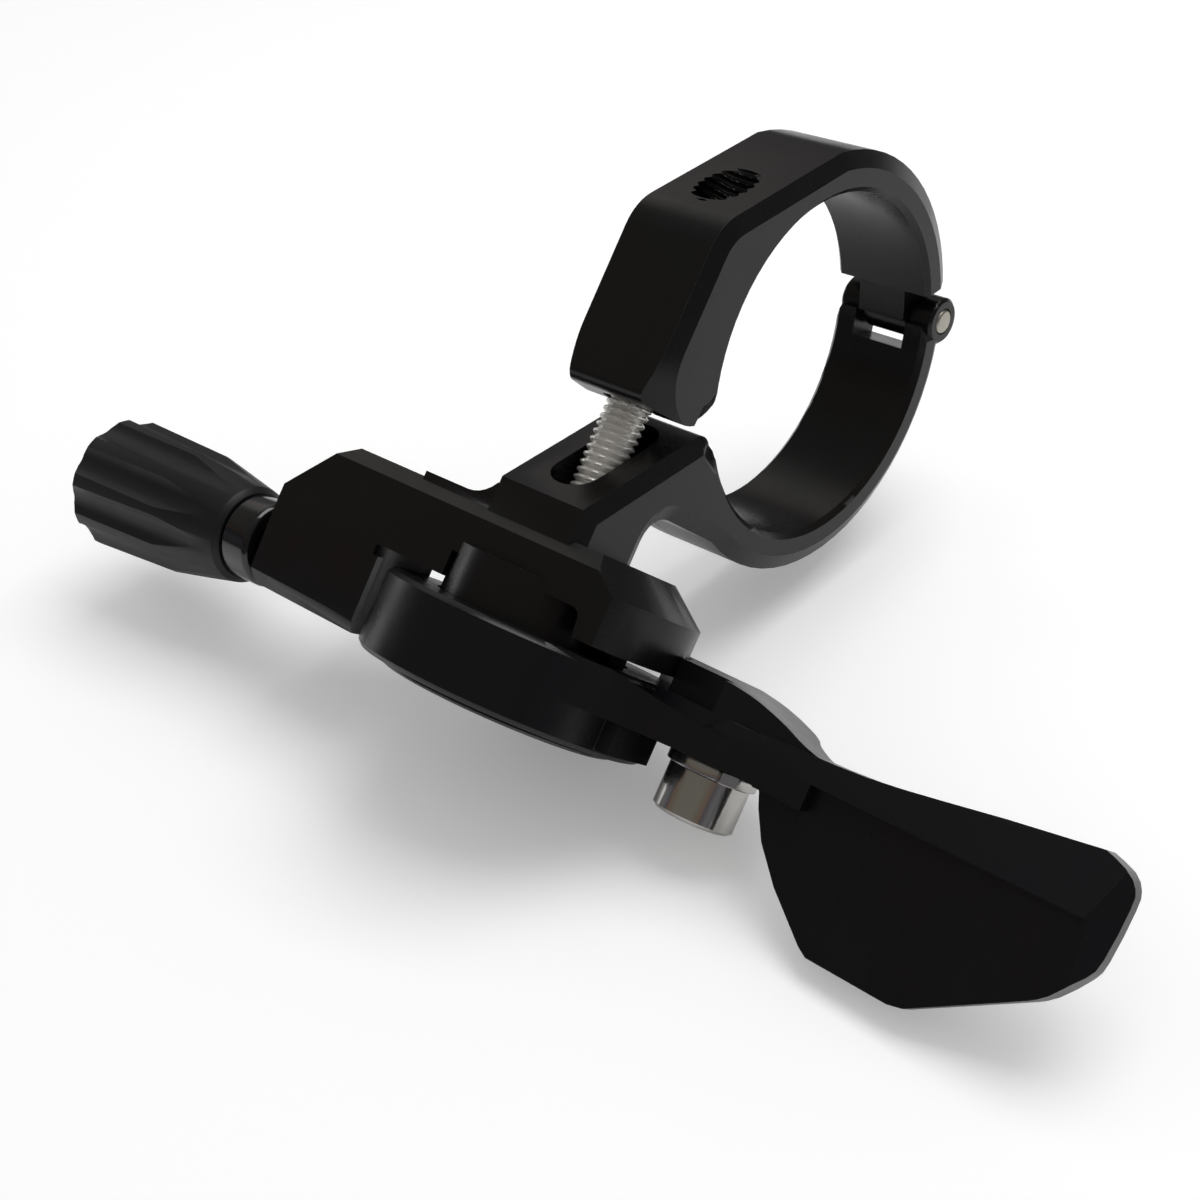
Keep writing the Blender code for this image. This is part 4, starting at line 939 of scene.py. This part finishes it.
def pivot_profile():
    """The shoulder that the bearing's inner ring seats on, and the spigot through it."""
    top = PLATE_BOTTOM_Z + NOTCH_H + PAST
    return [(0, top), (PIVOT_SHOULDER_R, top), (PIVOT_SHOULDER_R, SHOULDER_Z), (SPIGOT_R, SHOULDER_Z),
            (SPIGOT_R, SPIGOT_END_Z), (0, SPIGOT_END_Z)]


def stop_recess(name, low, high):
    outline = arc(PIVOT, STOP_R, STOP_START, STOP_START + STOP_SWEEP, 12)
    outline += arc(PIVOT, PIVOT_SHOULDER_R + PAST, STOP_START + STOP_SWEEP, STOP_START, 12)
    return flat_solid(name, outline, "XY", low, high)


def cut_notch(plate):
    """The notch in the plate's front, which leaves the hook at its right."""
    right = HOOK_CORNER_X - HOOK_T
    top = PLATE_BOTTOM_Z + NOTCH_H
    outline = [(NOTCH_LEFT_X, PLATE_BOTTOM_Z - PAST), (right, PLATE_BOTTOM_Z - PAST)]
    outline += arc((right - NOTCH_CORNER_IN, top - NOTCH_CORNER_R), NOTCH_CORNER_R, 0, 90, 4)
    outline += [(NOTCH_LEFT_X, top)]
    notch = flat_solid("front_notch", outline, "XZ", PLATE_FRONT_Y - PAST, PLATE_FRONT_Y + NOTCH_DEPTH)
    cut(plate, notch)


def build_main_body():
    body = clamp_blank("main_body_blank", lower_clamp_outline())
    plate, extras = add_plate()
    cut_notch(plate)
    join(body, plate, *extras)
    join(body, add_cable_boss())
    join(body, turned("pivot_spigot", pivot_profile(), 64, PIVOT_PLACE))
    join(body, knuckle("ear_knuckle", HALF_W, EAR_EDGE))
    slot_half = TONGUE_WIDTH / 2 + GAP
    reach = RING_R + 5 * PAST
    end = HINGE_ANGLE + EAR_CUT
    ear_slot = [polar(CORE_R - PAST, EAR_SLOT_ANGLE), polar(reach, EAR_SLOT_ANGLE), polar(reach, end),
                polar(CORE_R - PAST, end)]
    cut(body, flat_solid("ear_slot", ear_slot, "YZ", -slot_half, slot_half))
    cut(body, bore_cutter("lower_bore"), pin_hole("ear_hole"))
    cut_bolt_way(body)
    cut(body, stop_recess("stop_recess", SHOULDER_Z - PAST, PLATE_BOTTOM_Z))
    cut_cable_bore(body)
    dress(body, BODY_BLACK, "main_body")


def build_retainer():
    """The hollow screw that holds the bearing on the spigot."""
    sleeve = SPIGOT_BORE_R - GAP
    step = INNER_RACE_R
    edge = RETAINER_EDGE
    profile = [(RETAINER_BORE_R, SLEEVE_TOP_Z), (sleeve, SLEEVE_TOP_Z), (sleeve, RETAINER_TOP_Z),
               (step, RETAINER_TOP_Z), (step, FLANGE_TOP_Z), (RETAINER_R, FLANGE_TOP_Z),
               (RETAINER_R, FLANGE_BOTTOM_Z + edge), (RETAINER_R - edge, FLANGE_BOTTOM_Z),
               (RETAINER_BORE_R, FLANGE_BOTTOM_Z)]
    retainer = turned("retainer_blank", profile, 96, PIVOT_PLACE, parts)
    cut(retainer, cylinder("retainer_hexagon", RETAINER_HEX / math.sqrt(3), FLANGE_BOTTOM_Z - PAST,
                           FLANGE_BOTTOM_Z + RETAINER_HEX_DEPTH, 6, PIVOT_PLACE))
    dress(retainer, LEVER_BLACK, "bearing_retainer", RETAINER_ROUND)


# Lever


def hub_profile():
    lip_bottom = SHOULDER_Z
    seat_r = BEARING_R + GAP
    lip_r = PIVOT_SHOULDER_R + GAP
    return [(lip_r, HUB_TOP_Z), (HUB_R - HUB_EDGE, HUB_TOP_Z), (HUB_R, HUB_TOP_Z - HUB_EDGE),
            (HUB_R, HUB_BOTTOM_Z + HUB_EDGE), (HUB_R - HUB_EDGE, HUB_BOTTOM_Z), (seat_r, HUB_BOTTOM_Z),
            (seat_r, lip_bottom), (lip_r, lip_bottom)]


def plan_points(points):
    """Points in plan, given in mm out from the hub's rim and back from the pivot."""
    return [(HUB_R + out * MM, PIVOT_Y + back * MM) for out, back in points]


def side_points(points):
    """Points seen from the front, given in mm out from the hub's rim and up from its top."""
    return [(HUB_R + out * MM, HUB_TOP_Z + up * MM) for out, up in points]


# The arm's front edge, the run down to the paddle, and the paddle's edges
ARM_FRONT = plan_points([(-2.2, -7.3), (-0.2, -4.6), (2.2, -2.1), (5.2, 0.1), (8.6, 1.6)])
SLOPE_RUN = side_points([(4.4, 2.9), (7.2, 2.55), (9.1, 2.15), (11.4, 1.5), (13.6, 0.7), (15.6, 0.3),
                         (18.2, 0.35)])
PADDLE_TOP = side_points([(9.9, 0.25), (19.7, 0.6), (30.9, 2.25)])
PADDLE_LEFT = side_points([(19.5, -13.35), (15.7, -10.25), (13.2, -7.55), (11.9, -5.35)])
PADDLE_END = [(-3.0, 3.25), (-1.1, 2.6), (-0.2, 1.6), (0.0, 0.2), (-0.2, -3.8), (-0.7, -5.4), (-2.4, -7.65),
              (-3.6, -8.6)]
PADDLE_HEEL = side_points([(29.2, -13.55), (27.9, -13.85), (20.4, -13.85)])

CREASE_PLACE = about(CREASE_START_X, PADDLE_FRONT_Y, CREASE_Z)
BAND_PLACE = CREASE_PLACE @ rotated(-BAND_LEAN, "X")


def arm_outline(set_back=0.0):
    """The arm in plan, from inside the hub to the paddle, with its front edge set back."""
    middle = math.degrees(math.atan2(ARM_FRONT[0][1] - PIVOT_Y, ARM_FRONT[0][0]))
    front = [polar(HUB_R - HUB_EDGE, middle - ARM_ROOT_TURN, PIVOT)]
    front += [(x, y + set_back) for x, y in ARM_FRONT]
    tip = CREASE_START_X
    back = smooth([(tip, PADDLE_BACK_Y), (tip - ARM_WAIST_IN, ARM_BACK_Y - ARM_WAIST_DROP),
                   (tip - ARM_SHOULDER_IN, ARM_BACK_Y), polar(HUB_R - HUB_EDGE, RIB_END, PIVOT)], 4)
    outline = [polar(HUB_R - PAST, middle - ARM_ROOT_START, PIVOT)] + smooth(front, 4)
    outline += [(tip, PADDLE_FRONT_Y + set_back)] + back
    return outline + arc(PIVOT, HUB_R - PAST, RIB_END, middle - ARM_ROOT_START, 12)


def build_rib():
    """The raised part of the arm, cut concentric with the plate's round end on its inner side."""
    rib = flat_solid("arm_rib", arm_outline(RIB_SETBACK), "XY", HUB_TOP_Z - PAST, RIB_TOP_Z)
    reach = 4 * HUB_R
    after = PIVOT_PLACE @ rotated(RIB_END, "Z")
    cut(rib, cylinder("rib_inner", PLATE_END_R + RIB_INNER_GAP, -reach, reach, 96, PIVOT_PLACE))
    front = (PLATE_END_R + RIB_FRONT_LENGTH, PADDLE_FRONT_Y + RIB_SETBACK, reach)
    cut(rib, block("rib_front", (-reach, -reach, -reach), front))
    cut(rib, block("rib_after", (-reach, 0, -reach), (PLATE_END_R + ARM_T, reach, reach), after))
    return rib


def slope_cutter():
    """The concave run from the raised part down to the paddle's top, turned towards the thumb."""
    run = smooth(SLOPE_RUN, 4)
    above = RIB_TOP_Z + PAST
    outline = run + [(run[-1][0], above), (run[0][0], above)]
    cutter = flat_solid("arm_slope", outline, "XZ", PADDLE_FRONT_Y - 3 * PAST, ARM_BACK_Y + 2 * PAST)
    hinge = Vector((HUB_R, PADDLE_FRONT_Y, 0))
    cutter.data.transform(about(*hinge) @ rotated(SLOPE_TURN, "Z") @ about(*-hinge))
    return cutter


def paddle_outline():
    corner = [(PADDLE_END_X + out * MM, HUB_TOP_Z + up * MM) for out, up in PADDLE_END]
    top = smooth(PADDLE_TOP + corner[:1], 4)
    arm_bottom = ARM_BOTTOM_Z + PADDLE_LAP
    left = PADDLE_LEFT + [(PADDLE_LEFT[-1][0] - PADDLE_ROOT_IN, arm_bottom),
                          (PADDLE_TOP[0][0] - MM, arm_bottom)]
    return top + smooth(corner, 2)[1:] + PADDLE_HEEL + left


def above_crease(name, place):
    """A block over the crease that cuts a leaning face."""
    reach = 2 * PADDLE_REACH
    return block(name, (-reach / 4, -reach / 4, 0), (reach, 0, reach / 4), place)


def build_paddle():
    paddle = flat_solid("paddle", paddle_outline(), "XZ", PADDLE_FRONT_Y, PADDLE_BACK_Y)
    reach = 2 * PADDLE_REACH
    cut(paddle, above_crease("band_slope", BAND_PLACE))
    face = about(0, FACE_RECESS) @ CREASE_PLACE @ rotated(-FACE_TURN, "Z") @ rotated(FACE_LEAN, "X")
    cut(paddle, block("face_slope", (0, -reach / 4, -reach / 2), (reach, 0, 0), face))
    under_arm = (PAST, 0, ARM_BOTTOM_Z - CREASE_Z)
    cut(paddle, block("face_under_arm", (-reach / 4, -reach / 4, -reach / 2), under_arm, face))
    corner = about(PADDLE_END_X - PADDLE_END_FACET, PADDLE_FRONT_Y)
    corner = corner @ rotated(PADDLE_FACET_ANGLE, "Z")
    cut(paddle, block("end_facet", (0, -reach / 4, -2 * reach), (reach / 4, 0, 0), corner))
    return paddle


def build_lever():
    lever = turned("lever_blank", hub_profile(), 128, PIVOT_PLACE, parts)
    arm = flat_solid("arm", arm_outline(), "XY", ARM_BOTTOM_Z, HUB_TOP_Z)
    cut(arm, above_crease("arm_blend", BAND_PLACE @ rotated(ARM_TWIST, "Z")))
    join(arm, build_rib())
    cut(arm, slope_cutter())
    stub = block("cable_stop", (HUB_R - PAST, PIVOT_Y - CABLE_STOP_HALF, ARM_BOTTOM_Z - CABLE_STOP_DROP),
                 (HUB_R + CABLE_STOP_T, PIVOT_Y + CABLE_STOP_HALF, ARM_BOTTOM_Z + PAST))
    join(arm, stub)
    join(lever, arm, build_paddle())
    cut(lever, cylinder("bearing_seat", BEARING_R + GAP, HUB_BOTTOM_Z - PAST, SHOULDER_Z, 128,
                        PIVOT_PLACE))
    lug_start = STOP_START + STOP_CLEARANCE
    outline = arc(PIVOT, STOP_R + GAP, lug_start, lug_start + LUG_SWEEP, 5)
    outline += arc(PIVOT, PIVOT_SHOULDER_R + PAST, lug_start + LUG_SWEEP, lug_start, 5)
    join(lever, flat_solid("stop_lug", outline, "XY", SHOULDER_Z + LUG_GAP, HUB_TOP_Z - LUG_GAP))
    hole_end = ARM_BOTTOM_Z - WASHER_T + CABLE_BOLT_LENGTH
    cut(lever, cylinder("cable_bolt_hole", BOLT_R + GAP, ARM_BOTTOM_Z - PAST, hole_end, 48,
                        about(CABLE_BOLT_X, CABLE_BOLT_Y)))
    dress(lever, LEVER_BLACK, "lever")


def build_cable_clamp():
    washer_top = ARM_BOTTOM_Z - SEAT
    centre = about(CABLE_BOLT_X, CABLE_BOLT_Y)
    washer_bottom = washer_top - WASHER_T
    profile = [(WASHER_R, washer_top), (WASHER_R, washer_bottom), (BOLT_R + GAP, washer_bottom),
               (BOLT_R + GAP, washer_top)]
    washer = turned("washer_blank", profile, 80, centre, parts)
    turn = centre @ rotated(WASHER_TAB_ANGLE, "Z")
    tab = block("washer_tab", (WASHER_R - PAST, -WASHER_TAB / 2, washer_bottom),
                (WASHER_R + WASHER_TAB_OUT, WASHER_TAB / 2, washer_top), turn)
    join(washer, tab)
    dress(washer, STAINLESS, "cable_clamp_washer")
    seat = about(CABLE_BOLT_X, CABLE_BOLT_Y, washer_bottom - SEAT)
    socket_bolt("cable_clamp_bolt", CABLE_BOLT_LENGTH - GAP, seat, STAINLESS)


# Barrel adjuster, along its own axis from the boss's face outward

def build_knob():
    collar_out = COLLAR_GAP + COLLAR_L
    knob_in = collar_out + SEAT
    knob_out = knob_in + KNOB_L
    cavity_r = KNOB_NECK_R - KNOB_WALL / 2
    shoulder = knob_in + KNOB_CONE_L
    edge = KNOB_EDGE
    thread_r = BARREL_THREAD_R + GAP
    profile = [(HOUSING_R, knob_out - edge), (HOUSING_R + edge, knob_out), (KNOB_R - edge, knob_out),
               (KNOB_R, knob_out - edge), (KNOB_SHOULDER_R, shoulder), (KNOB_NECK_R, knob_in + edge),
               (KNOB_NECK_R - edge, knob_in), (cavity_r, knob_in), (cavity_r, shoulder),
               (thread_r, shoulder + edge), (thread_r, knob_out - HOUSING_DEPTH),
               (HOUSING_R, knob_out - HOUSING_DEPTH)]
    knob = turned("knob_blank", profile, 96, BARREL_PLACE, parts)
    for i in range(KNOB_FLUTES):
        turn = rotated(KNOB_FLUTE_TURN + 360 * i / KNOB_FLUTES, "Z")
        lean = rotated(KNOB_FLUTE_LEAN, "Y")
        spot = BARREL_PLACE @ turn @ about(KNOB_R - KNOB_FLUTE_DEPTH + KNOB_FLUTE_R, 0, knob_out) @ lean
        cut(knob, cylinder(f"knob_flute_{i + 1:02d}", KNOB_FLUTE_R, -KNOB_L, PAST, 40, spot))
    dress(knob, KNOB_PLASTIC, "barrel_knob", KNOB_ROUND)


build_upper_clamp()
socket_bolt("clamp_bolt", BOLT_LENGTH, about(0, PIVOT_Y, HEAD_TOP_Z), THREAD_STEEL)
build_main_body()
build_retainer()
build_lever()
build_cable_clamp()
build_knob()
refine("hinge_pin", PIN_STEEL, PIN_ROUND)
refine("detent_collar", COLLAR_PLASTIC, COLLAR_ROUND)
recolour("adjuster_screw", BODY_BLACK)
for ring in ("bearing_inner_ring", "bearing_outer_ring"):
    recolour(ring, BEARING_STEEL)
for node in frame["nodes"]:
    if node.startswith("bearing_ball"):
        recolour(node, BEARING_STEEL)
recolour("bearing_cage", CAGE_PLASTIC)
recolour("bearing_seal_upper", SEAL_RUBBER)
recolour("bearing_seal_lower", SEAL_RUBBER)
for thing in list(tools.objects):
    bpy.data.objects.remove(thing)
bpy.data.collections.remove(tools)

# Camera, fitted to the photograph: its right, its up and its way back
CAMERA_PLACE = Vector((92.555, -139.492, -23.551)) * MM
CAMERA_RIGHT = Vector((0.738, 0.5426, 0.4013))
CAMERA_UP = Vector((-0.3391, -0.216, 0.9156))
CAMERA_LENS = 54.12

camera = bpy.data.cameras.new("camera")
camera.lens = CAMERA_LENS
camera.sensor_width = 36
camera.sensor_fit = "HORIZONTAL"
camera.clip_start = 0.01
camera.clip_end = 20
view = bpy.data.objects.new("camera", camera)
bpy.context.scene.collection.objects.link(view)
right = CAMERA_RIGHT.normalized()
back = right.cross(CAMERA_UP).normalized()
up = back.cross(right)
view.matrix_world = Matrix.Translation(CAMERA_PLACE) @ Matrix((right, up, back)).transposed().to_4x4()
bpy.context.scene.camera = view

# Floor: the part lies on its ring, knob and paddle
FLOOR_TILT = 44.4
FLOOR_LEAN = 1.4
FLOOR_SIZE = 1.4
FLOOR_COLOUR = (0.9, 0.905, 0.9, 1)
FLOOR_GLOW = 0.2
floor_turn = rotated(FLOOR_TILT, "X") @ rotated(FLOOR_LEAN, "Y")
floor_up = floor_turn.to_3x3() @ Vector((0, 0, 1))


def lowest_point():
    """How far the pieces reach along the floor's normal, downwards."""
    depsgraph = bpy.context.evaluated_depsgraph_get()
    reach = []
    for piece in parts.objects:
        shown = piece.evaluated_get(depsgraph)
        mesh = shown.to_mesh()
        reach.append(min(floor_up @ (piece.matrix_world @ v.co) for v in mesh.vertices))
        shown.to_mesh_clear()
    return min(reach)


def mixed(nodes, link, factor, first, second):
    """Two shaders mixed by a factor."""
    mix = nodes.new("ShaderNodeMixShader")
    for source, target in zip((factor, first, second), mix.inputs):
        link(source, target)
    return mix.outputs[0]


def floor_look():
    """White where it is lit, with the shadows kept, and seen from its upper side only."""
    look = bpy.data.materials.new("floor")
    look.use_nodes = True
    nodes = look.node_tree.nodes
    link = look.node_tree.links.new
    shader = nodes["Principled BSDF"]
    shader.inputs["Base Color"].default_value = FLOOR_COLOUR
    shader.inputs["Roughness"].default_value = 0.7
    shader.inputs["Specular IOR Level"].default_value = 0.1
    glow = nodes.new("ShaderNodeEmission")
    glow.inputs["Color"].default_value = (1, 1, 1, 1)
    path = nodes.new("ShaderNodeLightPath")
    level = nodes.new("ShaderNodeMath")
    level.operation = "MULTIPLY"
    level.inputs[1].default_value = FLOOR_GLOW
    link(path.outputs["Is Camera Ray"], level.inputs[0])
    link(level.outputs[0], glow.inputs["Strength"])
    both = nodes.new("ShaderNodeAddShader")
    link(shader.outputs[0], both.inputs[0])
    link(glow.outputs[0], both.inputs[1])
    side = nodes.new("ShaderNodeNewGeometry")
    clear = nodes.new("ShaderNodeBsdfTransparent")
    either = mixed(nodes, link, side.outputs["Backfacing"], both.outputs[0], clear.outputs[0])
    link(either, nodes["Material Output"].inputs["Surface"])
    return look


floor_mesh = bpy.data.meshes.new("floor")
half = FLOOR_SIZE / 2
corners = [(-half, -half, 0), (half, -half, 0), (half, half, 0), (-half, half, 0)]
floor_mesh.from_pydata(corners, [], [(0, 1, 2, 3)])
floor_mesh.materials.append(floor_look())
floor = bpy.data.objects.new("floor", floor_mesh)
bpy.context.scene.collection.objects.link(floor)
floor.matrix_world = Matrix.Translation(floor_up * lowest_point()) @ floor_turn

# World: white for the camera, even light on matt faces, a dim room with one soft pane in reflections
ROOM_LOW = (0.07, 0.07, 0.08)
ROOM_HIGH = (0.24, 0.24, 0.26)
ROOM_STOPS = [(0.2, (0.16, 0.16, 0.17)), (0.36, (0.06, 0.06, 0.075)), (0.42, (0.22, 0.135, 0.085)),
              (0.47, (0.12, 0.115, 0.095)), (0.55, (0.17, 0.165, 0.14)), (0.75, (0.15, 0.145, 0.13))]
WINDOW_TOWARD = Vector((-0.625, -0.05, 0.78))
WINDOW_EDGE = 0.93
WINDOW_CORE = 0.985
WINDOW_LIGHT = 0.35
ROOM_LIGHT = 0.5
world = bpy.data.worlds.new("studio")
bpy.context.scene.world = world
world.use_nodes = True
nodes = world.node_tree.nodes
link = world.node_tree.links.new
nodes.clear()
path = nodes.new("ShaderNodeLightPath")
direction = nodes.new("ShaderNodeTexCoord")


def towards(axis):
    """How nearly a ray of the world points along an axis, from -1 to 1."""
    dot = nodes.new("ShaderNodeVectorMath")
    dot.operation = "DOT_PRODUCT"
    dot.inputs[1].default_value = axis
    link(direction.outputs["Generated"], dot.inputs[0])
    return dot.outputs["Value"]


def white_light(strength):
    glow = nodes.new("ShaderNodeBackground")
    glow.inputs["Color"].default_value = (1, 1, 1, 1)
    glow.inputs["Strength"].default_value = strength
    return glow.outputs[0]


room = nodes.new("ShaderNodeValToRGB")
room.color_ramp.elements[0].color = (*ROOM_LOW, 1)
room.color_ramp.elements[1].color = (*ROOM_HIGH, 1)
for stop, colour in ROOM_STOPS:
    room.color_ramp.elements.new(stop).color = (*colour, 1)
link(towards(floor_up), room.inputs["Fac"])
pane = nodes.new("ShaderNodeMapRange")
pane.interpolation_type = "SMOOTHSTEP"
pane.inputs["From Min"].default_value = WINDOW_EDGE
pane.inputs["From Max"].default_value = WINDOW_CORE
pane.inputs["To Max"].default_value = WINDOW_LIGHT
link(towards(WINDOW_TOWARD.normalized()), pane.inputs["Value"])
lit = nodes.new("ShaderNodeMix")
lit.data_type = "RGBA"
lit.blend_type = "ADD"
lit.inputs["Factor"].default_value = 1
link(room.outputs["Color"], lit.inputs["A"])
link(pane.outputs["Result"], lit.inputs["B"])
reflected = nodes.new("ShaderNodeBackground")
link(lit.outputs["Result"], reflected.inputs["Color"])
lighting = mixed(nodes, link, path.outputs["Is Glossy Ray"], white_light(ROOM_LIGHT), reflected.outputs[0])
seen = mixed(nodes, link, path.outputs["Is Camera Ray"], lighting, white_light(1))
output = nodes.new("ShaderNodeOutputWorld")
link(seen, output.inputs["Surface"])

# Lamps, aimed at the middle of the body
LAMP_TARGET = Vector((0, -15, -28)) * MM


def softbox(name, toward, distance, size, power):
    lamp = bpy.data.lights.new(name, "AREA")
    lamp.shape = "RECTANGLE"
    lamp.size = size[0]
    lamp.size_y = size[1]
    lamp.energy = power
    thing = bpy.data.objects.new(name, lamp)
    bpy.context.scene.collection.objects.link(thing)
    toward = toward.normalized()
    thing.location = LAMP_TARGET + toward * distance
    thing.rotation_euler = toward.to_track_quat("Z", "Y").to_euler()


softbox("key", toward=floor_up * 0.8 + right * 0.35 + up * 0.35, distance=0.5, size=(0.35, 0.35), power=1.3)
softbox("strip_left", toward=Vector((-0.95, -0.15, 0.2)), distance=0.45, size=(0.06, 0.3), power=0.12)

bpy.context.scene.view_settings.view_transform = "Standard"
